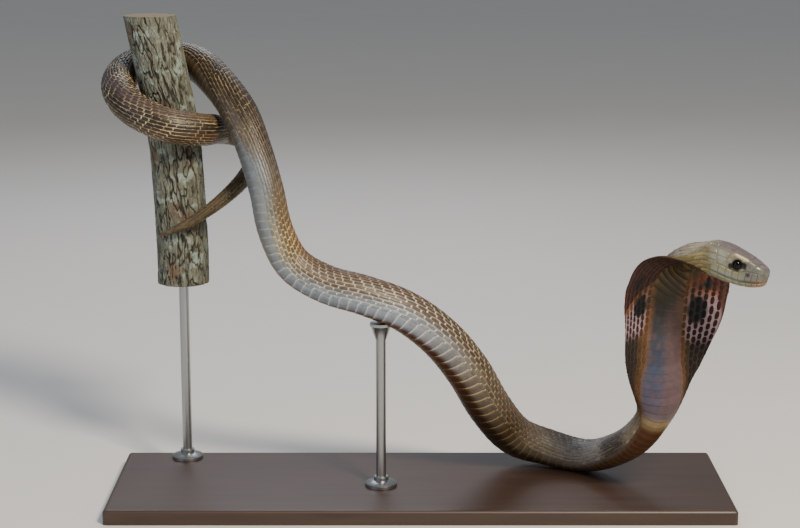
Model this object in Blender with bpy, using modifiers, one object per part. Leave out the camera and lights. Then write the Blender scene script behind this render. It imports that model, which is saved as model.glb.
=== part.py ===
# Indian cobra, life size, as a still museum model. The body hangs from a leaning
# stem that it winds round once, runs down to the base and rears up with its hood spread.
# Lengths are in millimetres in the tables and in metres in the meshes.
# +X runs to the side that the head points to, -Y is the front, +Z is up.
# The origin is the middle of the base's underside.

import math

import bmesh
import bpy
import numpy as np

MM = 0.001
GAP = 0.3                   # clearance between neighbouring pieces

# Stand: base board, stem and rods
BASE_LENGTH = 500.0
BASE_DEPTH = 152.0
BASE_HEIGHT = 12.0
BASE_EDGE = 3.0
ROD_RADIUS = 4.0
FOOT_RADIUS = 13.0
FOOT_HEIGHTS = (2.8, 4.8, 8.0)      # disc, the end of its slope, the end of the collar
COLLAR_RADIUS = 6.0
CUP_RADIUS = 9.0
CUP_HEIGHTS = (8.0, 14.4)           # straight side, the end of its slope
ROD_SIDES = 20
CUP_SINK = 0.72             # the cup's rim under the body's middle, times its half width
ROD_REST = 560.0            # place behind the snout that the body's rod carries

# Stem: bottom and top of the cut length, and its axis as (height, x)
STEM_Y = 60.0
STEM_BOTTOM = 166.0
STEM_TOP = 388.0
STEM_RADIUS = 21.2
STEM_AXIS = ((150.0, -197.4), (193.0, -197.2), (235.0, -198.7), (277.0, -201.0),
             (319.0, -206.5), (360.0, -214.4), (400.0, -222.3))
BARK_RIDGES = (9, 5)        # two waves round the stem, the second half as strong
BARK_TWIST = (0.035, -0.06)
BARK_RELIEF = 0.6
STEM_SIDES = 36
STEM_RINGS = 19

# Snake: the middle line from snout to tail tip.
# Each row: x, y, z, half width, and the way the belly faces (x, y, z).
HEAD_AND_BODY = (
    (256.9, -114.0, 209.4, 12.0, -0.25, 0.05, -1.0),
    (237.2, -103.0, 213.8, 12.0, -0.25, 0.05, -1.0),
    (216.8, -91.5, 217.0, 13.0, -0.05, 0.00, -1.0),
    (206.5, -83.6, 216.4, 13.5, 0.20, -0.25, -1.0),
    (198.0, -74.0, 211.0, 14.0, 0.38, -0.58, -0.8),
    (192.2, -65.2, 200.5, 14.0, 0.45, -0.82, -0.4),
    (189.2, -60.0, 186.0, 14.0, 0.46, -0.88, -0.1),
    (188.4, -57.6, 171.0, 14.0, 0.45, -0.89, 0.0),
    (187.0, -57.0, 148.7, 14.0, 0.40, -0.92, 0.0),
    (187.0, -56.0, 121.8, 14.0, 0.25, -0.97, 0.0),
    (186.4, -50.0, 88.0, 13.4, 0.12, -0.97, -0.2),
    (175.8, -31.0, 60.0, 13.8, 0.15, -0.70, -0.7),
    (159.5, -4.5, 39.0, 14.0, 0.10, -0.50, -0.9),
    (138.5, 23.0, 25.6, 14.4, 0.0, -0.20, -1.0),
    (108.0, 37.0, 28.3, 16.2, -0.1, -0.20, -1.0),
    (80.6, 36.0, 38.6, 18.0, -0.5, -0.40, -0.8),
    (58.6, 22.0, 67.1, 19.0, -0.8, -0.45, -0.5),
    (38.7, 6.0, 104.1, 19.2, -0.8, -0.40, -0.5),
    (16.3, -6.0, 134.1, 18.6, -0.65, -0.25, -0.7),
    (-12.0, -13.0, 157.3, 17.8, -0.35, -0.10, -0.9),
    (-44.0, -13.0, 170.5, 17.0, -0.10, 0.05, -1.0),
    (-76.1, -8.0, 179.2, 16.3, -0.25, 0.15, -1.0),
    (-102.0, -2.0, 194.3, 15.8, -0.65, 0.10, -0.7),
    (-116.1, 0.0, 221.7, 15.2, -0.95, -0.05, -0.2),
    (-123.1, 4.0, 253.5, 14.8, -0.95, -0.10, -0.1),
    (-133.5, 18.0, 284.8, 15.0, -0.90, 0.00, -0.3),
    (-147.0, 37.0, 313.0, 15.6, -0.80, 0.10, -0.6),
)
# The turn round the stem: degrees from +X seen from above, height, half width
STEM_TURN = ((22.0, 339.5, 15.4), (55.0, 346.5, 15.2), (90.0, 348.0, 15.0),
             (135.0, 343.0, 14.8), (180.0, 331.2, 14.5), (225.0, 316.2, 14.2),
             (270.0, 303.9, 14.0), (315.0, 298.0, 13.3), (350.0, 295.5, 12.4))
TURN_CLEARANCE = 1.8        # flesh to bark, room for the raised belly scutes
TAIL = (
    (-165.5, 84.0, 289.5, 11.4, -0.5, 0.10, -0.9),
    (-156.0, 94.0, 286.0, 10.8, -0.1, -0.10, -1.0),
    (-143.0, 93.5, 281.0, 10.0, -0.1, -0.10, -1.0),
    (-134.5, 84.0, 276.0, 9.1, -0.2, 0.00, -1.0),
    (-134.8, 70.5, 269.5, 8.3, -0.3, 0.10, -1.0),
    (-141.0, 53.0, 259.5, 7.3, -0.3, 0.30, -1.0),
    (-151.5, 39.0, 248.5, 6.4, -0.2, 0.50, -0.9),
    (-166.9, 31.5, 236.0, 5.4, -0.1, 0.80, -0.6),
    (-183.5, 31.5, 224.6, 4.4, 0.0, 1.00, -0.4),
    (-200.4, 32.5, 215.7, 3.2, 0.2, 1.00, -0.3),
    (-216.1, 38.0, 208.7, 1.2, 0.5, 0.90, -0.2),
)

# Head, by distance behind the snout: half width, height over and depth under the
# middle line, and how far down the mouth line runs
HEAD_FORM = (
    (0.0, 4.4, 3.2, 7.4, 5.4), (0.8, 6.2, 4.2, 8.6, 5.8), (2.2, 7.7, 5.2, 9.6, 6.2),
    (4.5, 9.0, 6.4, 10.6, 6.8), (8.0, 10.1, 7.9, 11.8, 7.6), (12.5, 11.1, 9.6, 12.7, 8.5),
    (17.0, 12.3, 10.9, 13.2, 8.9), (21.5, 13.5, 12.1, 13.2, 8.6), (27.0, 14.9, 13.6, 12.9, 7.6),
    (33.0, 16.0, 14.7, 12.0, 6.0), (39.0, 16.2, 15.2, 11.0, 5.0), (46.0, 15.4, 14.9, 10.6, 5.4),
    (54.0, 14.4, 13.6, 11.0, 6.2), (62.0, 14.0, 12.6, 11.4, 6.8))
HEAD_MORE_RINGS = (6.2, 10.2, 14.7, 19.2, 24.2, 30.0, 36.0, 42.5, 46.0, 50.0, 54.0)
CROWN_STEPS = 6             # points of a half ring from the crown down to the upper lip
CHIN_STEPS = 4
CROWN_POWER = 0.62          # below 1 the section grows boxier
CHIN_POWER = 0.74
SNOUT_BULGE = 0.5
SNOUT_DROP = 1.4
MOUTH_END = 37.0
MOUTH_FADE = (4.0, 2.0)     # before and behind the end of the mouth
LIP_HEIGHT = 0.9
LIP_DEPTH = 0.8
BROW_SPAN = (7.5, 14.5, 24.0, 32.0)
BROW_POINTS = (2, 3)
BROW_RISE = 0.9
NECK_BLEND = (42.0, 57.0)
EYE_AT = 21.0               # behind the snout
EYE_UP = 3.6                # over the middle line
EYE_RADIUS = 3.7
EYE_PROUD = 2.2             # how far the eye stands out of the cheek line
NOSTRIL_AT = 11.8
NOSTRIL_DOWN = 2.4
NOSTRIL_RADIUS = 1.3
NOSTRIL_DEPTH = 1.5

# Hood, by distance behind the snout: half width, forward sweep of the edges,
# and how far the body stands out behind and before its middle line
HOOD_FORM = (
    (42.0, 18.0, -2.0, 12.5, 11.0), (50.0, 35.0, -4.8, 12.4, 10.2), (57.0, 46.5, -6.4, 12.0, 9.0),
    (64.0, 50.0, -4.2, 11.2, 8.0), (72.0, 51.0, 2.0, 10.4, 7.0), (81.0, 50.4, 9.0, 10.0, 6.2),
    (92.0, 50.0, 13.5, 9.8, 5.8), (104.0, 49.2, 16.0, 9.8, 5.8), (117.0, 47.4, 16.5, 10.2, 6.4),
    (132.0, 43.6, 15.5, 10.6, 7.2), (148.0, 38.4, 12.5, 11.2, 8.8), (163.0, 32.4, 8.5, 11.8, 10.2),
    (178.0, 26.0, 5.0, 12.4, 11.4), (192.0, 20.4, 2.5, 12.8, 12.2), (206.0, 15.8, 0.5, 13.0, 12.8),
    (224.0, 13.8, 0.0, 13.3, 13.0))
HOOD_EDGE = 1.5             # half thickness near the rim
CORE_HALF_WIDTH = 15.0
SPREAD_FROM = 15.0          # half width where the round neck begins to turn into wings
SPREAD_RANGE = 18.0
# Places across the half width where a half ring has its points, round and spread
ROUND_BACK = (0.0, 0.259, 0.5, 0.707, 0.866, 0.966, 1.0)
WING_BACK = (0.0, 0.15, 0.31, 0.50, 0.70, 0.88, 1.0)
ROUND_BELLY = (0.966, 0.90)
WING_BELLY = (0.86, 0.62)
PLATE_POINTS = (0.45, 0.5)  # the point between a plate's edge and its middle, round and spread
PLATE_MARGIN = (0.03, 0.02)

# Belly scutes: plates that overlap towards the tail
SCUTE_PITCH = 0.9           # times the half width of the body
SCUTE_PITCH_RANGE = (6.0, 13.0)
HOOD_PITCH = 8.5
SCUTE_RISE = 0.065          # times the half width
SCUTE_STEP = 0.8
SCUTE_HALF_ANGLE = 58.0     # degrees either side of the belly's middle
SCUTE_MARGIN = 5.0          # degrees from a plate's edge to the flank's last point
SCUTE_START = (60.0, 68.0)  # the throat's first scutes grow over this stretch
SHORTEST_PLATE = 0.6        # times the pitch, at the end of a body length
BACK_HEIGHT = 0.97          # times the half width, over the middle line
BELLY_DEPTH = 0.93
BELLY_POWER = 0.9

# Where one length of the body ends and the next begins, behind the snout
HEAD_END = 57.0
HOOD_END = 216.0
BODY_CUTS = ("forebody", 360.0), ("body_rise", 480.0), ("body_bridge", 610.0), \
    ("body_climb", 760.0), ("coil_back", 850.0), ("coil_front", 950.0), ("tail_base", 1070.0)

TIP_LENGTH = 3.0
BODY_SIDES = 16
TAIL_SIDES = 12
SADDLE_SIDES = 32
SADDLE_REACH = 2.5          # times the cup's radius, along the body either way
SADDLE_SWELL = 1.3          # times the scutes' rise
FRAME_STEP = 1.5            # the direction of travel is read over twice this length
CURVE_SAMPLES = 6000


def stem_x(height):
    heights, across = zip(*STEM_AXIS)
    return float(np.interp(height, heights, across))


def turn_rows():
    """The middle line of the turn round the stem, in the same columns as the route."""
    rows = []
    for degrees, height, half_width in STEM_TURN:
        angle = math.radians(degrees)
        reach = STEM_RADIUS + BARK_RELIEF + half_width + TURN_CLEARANCE
        out = (math.cos(angle), math.sin(angle))
        rows.append((stem_x(height) + reach * out[0], STEM_Y + reach * out[1], height,
                     half_width, -0.9 * out[0], -0.9 * out[1], -0.35))
    return rows


def catmull_rom(keys, values, at):
    """A smooth curve through rows of values, read at any number of keys."""
    keys = np.asarray(keys, float)
    values = np.asarray(values, float)
    slopes = np.empty_like(values)
    slopes[1:-1] = (values[2:] - values[:-2]) / (keys[2:] - keys[:-2])[:, None]
    slopes[0] = (values[1] - values[0]) / (keys[1] - keys[0])
    slopes[-1] = (values[-1] - values[-2]) / (keys[-1] - keys[-2])
    at = np.clip(np.atleast_1d(at), keys[0], keys[-1])
    left = np.clip(np.searchsorted(keys, at, side="right") - 1, 0, len(keys) - 2)
    span = (keys[left + 1] - keys[left])[:, None]
    t = (at - keys[left])[:, None] / span
    return ((2 * t**3 - 3 * t**2 + 1) * values[left] + (t**3 - 2 * t**2 + t) * span * slopes[left]
            + (3 * t**2 - 2 * t**3) * values[left + 1] + (t**3 - t**2) * span * slopes[left + 1])


class Spine:
    """The snake's middle line, measured by the distance behind the snout."""

    def __init__(self, rows):
        rows = np.array(rows, float)
        chords = np.linalg.norm(np.diff(rows[:, :3], axis=0), axis=1)
        keys = np.concatenate(([0.0], np.cumsum(chords)))
        fine = np.linspace(0.0, keys[-1], CURVE_SAMPLES)
        self.values = catmull_rom(keys, rows, fine)
        steps = np.linalg.norm(np.diff(self.values[:, :3], axis=0), axis=1)
        self.distance = np.concatenate(([0.0], np.cumsum(steps)))
        self.length = float(self.distance[-1])

    def read(self, s):
        return np.array([np.interp(s, self.distance, column) for column in self.values.T])

    def half_width(self, s):
        return float(self.read(s)[3])

    def frame(self, s):
        """Centre, and the unit vectors towards the tail, the belly and the right flank."""
        here = self.read(s)
        ahead = self.read(min(s + FRAME_STEP, self.length))[:3]
        behind = self.read(max(s - FRAME_STEP, 0.0))[:3]
        tailward = (ahead - behind) / np.linalg.norm(ahead - behind)
        belly = here[4:7] - np.dot(here[4:7], tailward) * tailward
        belly /= np.linalg.norm(belly)
        return here[:3], tailward, belly, np.cross(tailward, belly)


SPINE = Spine(list(HEAD_AND_BODY) + turn_rows() + list(TAIL))


def table(rows, s):
    rows = np.asarray(rows, float)
    return catmull_rom(rows[:, 0], rows[:, 1:], s)[0]


def ease(start, end, s):
    t = min(max((s - start) / (end - start), 0.0), 1.0)
    return t * t * (3.0 - 2.0 * t)


def mirrored(half):
    """A closed outline from the points of its right half, back to belly."""
    left = [(-across, down) for across, down in half[-2:0:-1]]
    return np.array(half + left)


def head_outline(s):
    """Crown, lips with the mouth line let in between them, and chin."""
    width, top, bottom, mouth = table(HEAD_FORM, s)

    def angle_at(down):
        return math.acos(-min(max(down / bottom, 0.0), 0.999) ** (1.0 / CHIN_POWER))

    lips = [angle_at(mouth + shift) for shift in (-LIP_HEIGHT, 0.0, LIP_HEIGHT)]
    angles = [lips[0] * k / CROWN_STEPS for k in range(CROWN_STEPS + 1)]
    angles += lips[1:]
    angles += [lips[2] + (math.pi - lips[2]) * k / CHIN_STEPS for k in range(1, CHIN_STEPS + 1)]
    groove = LIP_DEPTH * (1.0 - ease(MOUTH_END - MOUTH_FADE[0], MOUTH_END + MOUTH_FADE[1], s))
    brow = BROW_RISE * ease(*BROW_SPAN[:2], s) * (1.0 - ease(*BROW_SPAN[2:], s))
    half = []
    for k, angle in enumerate(angles):
        sine, cosine = abs(math.sin(angle)), math.cos(angle)
        across = width * sine**CROWN_POWER
        down = -top * cosine**CROWN_POWER if cosine > 0 else bottom * (-cosine)**CHIN_POWER
        if k == CROWN_STEPS + 1:
            across -= groove
        if k in BROW_POINTS:
            across += brow
            down -= 0.5 * brow
        if k in (0, len(angles) - 1):
            across = 0.0
        half.append((across, down))
    return mirrored(half)


def hood_rise(part, half_width, height, spread):
    """How far the back or the belly stands off the middle line at a part of the half width."""
    rim = math.sqrt(max(1.0 - part**2, 0.0))
    hump = math.exp(-spread * (part * half_width / CORE_HALF_WIDTH)**2)
    edge = spread * HOOD_EDGE
    return rim * (edge + (height - edge) * hump)


def hood_outline(s, lift):
    """Thin wings swept forward either side of the body, with the scutes' plates in front."""
    half_width, sweep, behind, before = table(HOOD_FORM, s)
    spread = min(max((half_width - SPREAD_FROM) / SPREAD_RANGE, 0.0), 1.0)
    edge = math.sin(math.radians(SCUTE_HALF_ANGLE)) * (1.0 - spread) \
        + spread * CORE_HALF_WIDTH / half_width
    plain = ROUND_BACK + ROUND_BELLY + (edge + PLATE_MARGIN[0], edge, PLATE_POINTS[0], 0.0)
    wing = WING_BACK + WING_BELLY + (edge + PLATE_MARGIN[1], edge, PLATE_POINTS[1] * edge, 0.0)
    half = []
    for k in range(len(plain)):
        part = plain[k] + (wing[k] - plain[k]) * spread
        down = sweep * part**2
        if k < len(ROUND_BACK):
            down -= hood_rise(part, half_width, behind, spread)
        else:
            down += hood_rise(part, half_width, before, spread)
        if k >= len(plain) - 3:
            down += lift
        half.append((part * half_width, down))
    return mirrored(half)


def body_outline(half_width, lift, sides):
    """Round back, flatter belly, with the belly scutes' plates lifted by a little."""
    edge = 180.0 - SCUTE_HALF_ANGLE
    back_steps = sides // 4
    angles = [(edge - SCUTE_MARGIN) * k / (back_steps + 1) for k in range(back_steps + 2)]
    belly_steps = sides // 2 + 1 - len(angles)
    angles += [edge + (180.0 - edge) * k / (belly_steps - 1) for k in range(belly_steps)]
    half = []
    for k, degrees in enumerate(angles):
        sine, cosine = math.sin(math.radians(degrees)), math.cos(math.radians(degrees))
        if cosine > 0:
            down = -BACK_HEIGHT * half_width * cosine
        else:
            down = BELLY_DEPTH * half_width * (-cosine)**BELLY_POWER
        if k > back_steps + 1:
            down += lift
        across = 0.0 if k in (0, sides // 2) else half_width * sine
        half.append((across, down))
    return mirrored(half)


def scute_stations(start, end, pitch_at):
    """Ring places from start to end with the plate lift at each: a ramp up and a step down."""
    stations = [(start, 0.0)]
    s = start
    while True:
        following = s + pitch_at(s)
        if following > end - SHORTEST_PLATE * pitch_at(s):
            break
        stations += [(following - SCUTE_STEP, 1.0), (following, 0.0)]
        s = following
    stations.append((end, 1.0))
    return stations


def ring_points(s, outline, floor):
    centre, _, belly, flank = SPINE.frame(s)
    points = [centre + across * flank + down * belly for across, down in outline]
    return [(x * MM, y * MM, max(z, floor) * MM) for x, y, z in points]


def loft(name, rings, tip_first=None, tip_last=None):
    """A closed skin over rings of equal count, ended flat or in a point."""
    mesh = bpy.data.meshes.new(name)
    bm = bmesh.new()
    loops = [[bm.verts.new(point) for point in ring] for ring in rings]
    count = len(loops[0])
    for one, two in zip(loops, loops[1:]):
        for k in range(count):
            bm.faces.new((one[k], one[(k + 1) % count], two[(k + 1) % count], two[k]))
    for loop, tip in ((loops[0], tip_first), (loops[-1], tip_last)):
        if tip is None:
            bm.faces.new(loop)
            continue
        point = bm.verts.new(tip)
        for k in range(count):
            bm.faces.new((loop[k], loop[(k + 1) % count], point))
    bmesh.ops.recalc_face_normals(bm, faces=bm.faces)
    bm.to_mesh(mesh)
    bm.free()
    mesh.shade_smooth()
    mesh.set_sharp_from_angle(angle=math.radians(40.0))
    return bpy.data.objects.new(name, mesh)


def finish_of(name, colour, roughness, metallic=0.0):
    material = bpy.data.materials.new(name)
    material.use_nodes = True
    shader = material.node_tree.nodes["Principled BSDF"]
    shader.inputs["Base Color"].default_value = (*colour, 1.0)
    shader.inputs["Roughness"].default_value = roughness
    shader.inputs["Metallic"].default_value = metallic
    return material


def cut_away(target, cutter, cutters):
    cutters.objects.link(cutter)
    cutter.hide_render = True
    cutter.display_type = "WIRE"
    boolean = target.modifiers.new("cut_" + cutter.name, "BOOLEAN")
    boolean.operation = "DIFFERENCE"
    boolean.object = cutter


def add_to(collection, thing, material):
    collection.objects.link(thing)
    thing.data.materials.clear()
    thing.data.materials.append(material)
    return thing


def ball(name, radius, place, segments=16, rings=12):
    mesh = bpy.data.meshes.new(name)
    bm = bmesh.new()
    bmesh.ops.create_uvsphere(bm, u_segments=segments, v_segments=rings, radius=radius * MM)
    bm.to_mesh(mesh)
    bm.free()
    mesh.shade_smooth()
    thing = bpy.data.objects.new(name, mesh)
    thing.location = [value * MM for value in place]
    return thing


def eye_place(side):
    centre, _, belly, flank = SPINE.frame(EYE_AT)
    width = table(HEAD_FORM, EYE_AT)[0]
    return centre + side * (width - EYE_RADIUS + EYE_PROUD) * flank - EYE_UP * belly


def head(model, cutters, skin):
    floor = BASE_HEIGHT + GAP
    stations = [row[0] for row in HEAD_FORM if row[0] < NECK_BLEND[0]]
    rings = []
    for s in sorted(stations + [*HEAD_MORE_RINGS, HEAD_END]):
        share = ease(*NECK_BLEND, s)
        outline = head_outline(s) * (1.0 - share)
        if share > 0.0:
            outline = outline + share * hood_outline(s, 0.0)
        rings.append(ring_points(s, outline, floor))
    centre, tailward, belly, _ = SPINE.frame(0.0)
    nose = (centre - SNOUT_BULGE * tailward + SNOUT_DROP * belly) * MM
    thing = add_to(model, loft("head", rings, tip_first=nose), skin)
    for side, word in ((1, "right"), (-1, "left")):
        socket = ball("socket_" + word, EYE_RADIUS + GAP, eye_place(side))
        cut_away(thing, socket, cutters)
        centre, _, belly, flank = SPINE.frame(NOSTRIL_AT)
        width = table(HEAD_FORM, NOSTRIL_AT)[0]
        mouth = centre + side * (width - NOSTRIL_DEPTH + NOSTRIL_RADIUS) * flank + NOSTRIL_DOWN * belly
        cut_away(thing, ball("nostril_" + word, NOSTRIL_RADIUS, mouth, 10, 8), cutters)
    return thing


def eyes(model, lens):
    for side, word in ((1, "right"), (-1, "left")):
        add_to(model, ball("eye_" + word, EYE_RADIUS, eye_place(side)), lens)


def hood(model, skin):
    floor = BASE_HEIGHT + GAP
    rings = []
    for s, lift in scute_stations(HEAD_END + GAP, HOOD_END, lambda s: HOOD_PITCH):
        rise = lift * SCUTE_RISE * CORE_HALF_WIDTH * ease(*SCUTE_START, s)
        rings.append(ring_points(s, hood_outline(s, rise), floor))
    add_to(model, loft("hood", rings), skin)


def body_pitch(s):
    return min(max(SCUTE_PITCH * SPINE.half_width(s), SCUTE_PITCH_RANGE[0]), SCUTE_PITCH_RANGE[1])


def body_rings(start, end, sides, swell=0.0, plates=True):
    floor = BASE_HEIGHT + GAP
    rings = []
    for s, lift in scute_stations(start, end, body_pitch):
        half_width = SPINE.half_width(s)
        rise = lift * SCUTE_RISE * half_width if plates else 0.0
        rings.append(ring_points(s, body_outline(half_width + swell, rise, sides), floor))
    return rings


def body_lengths(model, skin):
    start = HOOD_END
    for name, end in BODY_CUTS:
        add_to(model, loft(name, body_rings(start + GAP, end, BODY_SIDES)), skin)
        start = end
    last = SPINE.length
    rings = body_rings(start + GAP, last - TIP_LENGTH, TAIL_SIDES)
    tip = SPINE.frame(last)[0] * MM
    add_to(model, loft("tail_tip", rings, tip_last=tip), skin)


def stem(model, bark):
    rings = []
    for level in range(STEM_RINGS):
        height = STEM_BOTTOM + (STEM_TOP - STEM_BOTTOM) * level / (STEM_RINGS - 1)
        ring = []
        for k in range(STEM_SIDES):
            angle = 2.0 * math.pi * k / STEM_SIDES
            waves = [math.sin(ridges * angle + twist * height)
                     for ridges, twist in zip(BARK_RIDGES, BARK_TWIST)]
            radius = STEM_RADIUS + BARK_RELIEF * (2.0 * waves[0] + waves[1]) / 3.0
            ring.append(((stem_x(height) + radius * math.cos(angle)) * MM,
                         (STEM_Y + radius * math.sin(angle)) * MM, height * MM))
        rings.append(ring)
    add_to(model, loft("perch_stem", rings), bark)


def base_board(model, board):
    mesh = bpy.data.meshes.new("stand_base")
    bm = bmesh.new()
    bmesh.ops.create_cube(bm, size=1.0)
    size = (BASE_LENGTH * MM, BASE_DEPTH * MM, BASE_HEIGHT * MM)
    bmesh.ops.scale(bm, vec=size, verts=bm.verts)
    bmesh.ops.translate(bm, vec=(0.0, 0.0, BASE_HEIGHT * MM / 2.0), verts=bm.verts)
    bm.to_mesh(mesh)
    bm.free()
    thing = add_to(model, bpy.data.objects.new("stand_base", mesh), board)
    bevel = thing.modifiers.new("rounded_edges", "BEVEL")
    bevel.width = BASE_EDGE * MM
    bevel.segments = 2


def rod(name, x, y, top, cup):
    """A round rod on a disc foot, turned as one piece, from the base up to a height."""
    bottom = BASE_HEIGHT + GAP
    profile = [(0.0, top)]
    if cup:
        profile += [(CUP_RADIUS, top), (CUP_RADIUS, top - CUP_HEIGHTS[0]),
                    (ROD_RADIUS, top - CUP_HEIGHTS[1])]
    else:
        profile.append((ROD_RADIUS, top))
    disc, slope, collar = (bottom + height for height in FOOT_HEIGHTS)
    profile += [(ROD_RADIUS, collar), (COLLAR_RADIUS, slope),
                (FOOT_RADIUS, disc), (FOOT_RADIUS, bottom), (0.0, bottom)]
    mesh = bpy.data.meshes.new(name)
    mesh.from_pydata([(r * MM, 0.0, z * MM) for r, z in profile],
                     [(k, k + 1) for k in range(len(profile) - 1)], [])
    thing = bpy.data.objects.new(name, mesh)
    thing.location = (x * MM, y * MM, 0.0)
    screw = thing.modifiers.new("turned", "SCREW")
    screw.axis = "Z"
    screw.steps = ROD_SIDES
    screw.render_steps = ROD_SIDES
    screw.use_merge_vertices = True
    screw.merge_threshold = 0.00001
    return thing


def rods(model, cutters, steel):
    add_to(model, rod("stand_rod_stem", stem_x(STEM_BOTTOM), STEM_Y, STEM_BOTTOM - GAP, False), steel)
    centre = SPINE.frame(ROD_REST)[0]
    half_width = SPINE.half_width(ROD_REST)
    top = centre[2] - CUP_SINK * half_width
    thing = add_to(model, rod("stand_rod_body", centre[0], centre[1], top, True), steel)
    reach = SADDLE_REACH * CUP_RADIUS
    swell = GAP + SADDLE_SWELL * SCUTE_RISE * half_width
    rings = body_rings(ROD_REST - reach, ROD_REST + reach, SADDLE_SIDES, swell, plates=False)
    cut_away(thing, loft("saddle", rings), cutters)


def main():
    for thing in list(bpy.data.objects):
        bpy.data.objects.remove(thing, do_unlink=True)
    model = bpy.data.collections.new("indian_cobra_model")
    cutters = bpy.data.collections.new("cutters")
    bpy.context.scene.collection.children.link(model)
    bpy.context.scene.collection.children.link(cutters)

    brown = finish_of("brown_skin", (0.16, 0.11, 0.07), 0.42)
    hood_brown = finish_of("hood_skin", (0.33, 0.27, 0.25), 0.4)
    pale = finish_of("pale_head_skin", (0.42, 0.38, 0.34), 0.36)
    lens = finish_of("dark_eye", (0.01, 0.01, 0.012), 0.05)
    bark = finish_of("grey_bark", (0.22, 0.23, 0.19), 0.85)
    board = finish_of("dark_wood", (0.05, 0.04, 0.035), 0.5)
    steel = finish_of("brushed_steel", (0.55, 0.55, 0.55), 0.3, 1.0)

    head(model, cutters, pale)
    eyes(model, lens)
    hood(model, hood_brown)
    body_lengths(model, brown)
    stem(model, bark)
    base_board(model, board)
    rods(model, cutters, steel)


main()
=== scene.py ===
# %% [markdown]
# # An Indian cobra on its display stand
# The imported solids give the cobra's shape in plain lengths. This lesson dresses them. One skin runs
# from the snout to the tail tip, and on it lie thousands of separate scales, the broad scutes of the
# belly and the shields of the head. Tables are in millimetres, and meshes are in metres.

# %% Load the frame
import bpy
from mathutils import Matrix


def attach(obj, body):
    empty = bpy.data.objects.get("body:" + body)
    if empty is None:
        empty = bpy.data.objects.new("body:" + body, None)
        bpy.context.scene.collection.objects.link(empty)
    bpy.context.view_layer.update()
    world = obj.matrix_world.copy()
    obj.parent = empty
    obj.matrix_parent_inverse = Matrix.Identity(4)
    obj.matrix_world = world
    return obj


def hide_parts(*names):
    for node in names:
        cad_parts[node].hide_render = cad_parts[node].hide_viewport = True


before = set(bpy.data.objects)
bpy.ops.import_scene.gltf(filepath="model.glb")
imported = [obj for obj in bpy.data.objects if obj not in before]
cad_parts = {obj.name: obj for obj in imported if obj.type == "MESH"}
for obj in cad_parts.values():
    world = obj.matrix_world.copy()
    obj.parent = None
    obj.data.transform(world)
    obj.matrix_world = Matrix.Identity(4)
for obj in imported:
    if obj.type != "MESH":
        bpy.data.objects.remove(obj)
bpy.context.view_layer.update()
print("nodes in the frame:", ", ".join(sorted(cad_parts)))

# %% Modules and units
import math

import bmesh
import bpy
import numpy as np
from mathutils import Vector, noise
from mathutils.bvhtree import BVHTree

MM = 0.001
BODY = "root"

# %% [markdown]
# ## Camera
# The camera comes first, because every later choice is judged through it. It stands a metre and a
# half away, a little above the snake, and looks down by twelve degrees with a short telephoto lens,
# so near and far parts of the body keep almost the same scale.

# %% Camera
CAMERA_AIM = Vector((-0.016, 0.0, 0.19387))
CAMERA_DISTANCE = 1.5
CAMERA_TILT = math.radians(12.0)
CAMERA_LENS = 84.0

camera_data = bpy.data.cameras.new("photo_camera")
camera_data.lens = CAMERA_LENS
camera = bpy.data.objects.new("photo_camera", camera_data)
away = Vector((0.0, -math.cos(CAMERA_TILT), math.sin(CAMERA_TILT)))
camera.location = CAMERA_AIM + CAMERA_DISTANCE * away
camera.rotation_euler = (math.pi / 2.0 - CAMERA_TILT, 0.0, 0.0)
bpy.context.scene.collection.objects.link(camera)
bpy.context.scene.camera = camera
print("camera at", [round(value, 3) for value in camera.location])

# %% [markdown]
# ## Materials, one node at a time
# A Blender material is a small graph. One helper adds a node, sets its properties and fills or links
# its sockets, which keeps each material readable from top to bottom. Colours are chosen as sRGB hex
# values, as a paint chart gives them, and shaders want them linear.

# %% Colour and node helpers
def linear(hex_colour):
    parts = [int(hex_colour[k:k + 2], 16) / 255.0 for k in (1, 3, 5)]
    return np.array([p / 12.92 if p <= 0.04045 else ((p + 0.055) / 1.055)**2.4 for p in parts])


def rgba(hex_colour):
    return (*linear(hex_colour), 1.0)


def add(tree, kind, settings=None, inputs=None):
    node = tree.nodes.new(kind)
    for name, value in (settings or {}).items():
        setattr(node, name, value)
    for name, value in (inputs or {}).items():
        if isinstance(value, bpy.types.NodeSocket):
            tree.links.new(value, node.inputs[name])
        else:
            node.inputs[name].default_value = value
    return node


def new_material(name):
    material = bpy.data.materials.new(name)
    material.use_nodes = True
    material.node_tree.nodes.clear()
    return material, material.node_tree


def finish_material(tree, **inputs):
    shader = add(tree, "ShaderNodeBsdfPrincipled",
                 inputs={name.replace("_", " "): value for name, value in inputs.items()})
    add(tree, "ShaderNodeOutputMaterial", inputs={"Surface": shader.outputs[0]})


# %% [markdown]
# ## Floor and light
# The model stands in a plain studio: a pale sheet of card for a floor, a warm light high on the
# right in the place of the sun, a weak cool one on the left and one behind that draws a line of
# light along the snake's back.

# %% Floor and light
FLOOR_SIZE = 30.0
LIT_MIDDLE = (0.0, 0.0, 0.18)
# Name, place, size, power and colour of each lamp
LIGHTS = (
    ("key_light", (0.75, -1.25, 1.6), 0.5, 58.0, "#fff1dc"),
    ("fill_light", (-1.6, -1.1, 0.8), 1.4, 9.0, "#dfe8ff"),
    ("back_light", (-0.2, 1.3, 1.3), 0.9, 9.0, "#eef3ff"),
)
AIR_LIGHT = 0.34


def show(name, mesh, *materials):
    thing = bpy.data.objects.new(name, mesh)
    for material in materials:
        mesh.materials.append(material)
    bpy.context.scene.collection.objects.link(thing)
    return thing


def mesh_of(name, bm):
    mesh = bpy.data.meshes.new(name)
    bm.to_mesh(mesh)
    bm.free()
    return mesh


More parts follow.
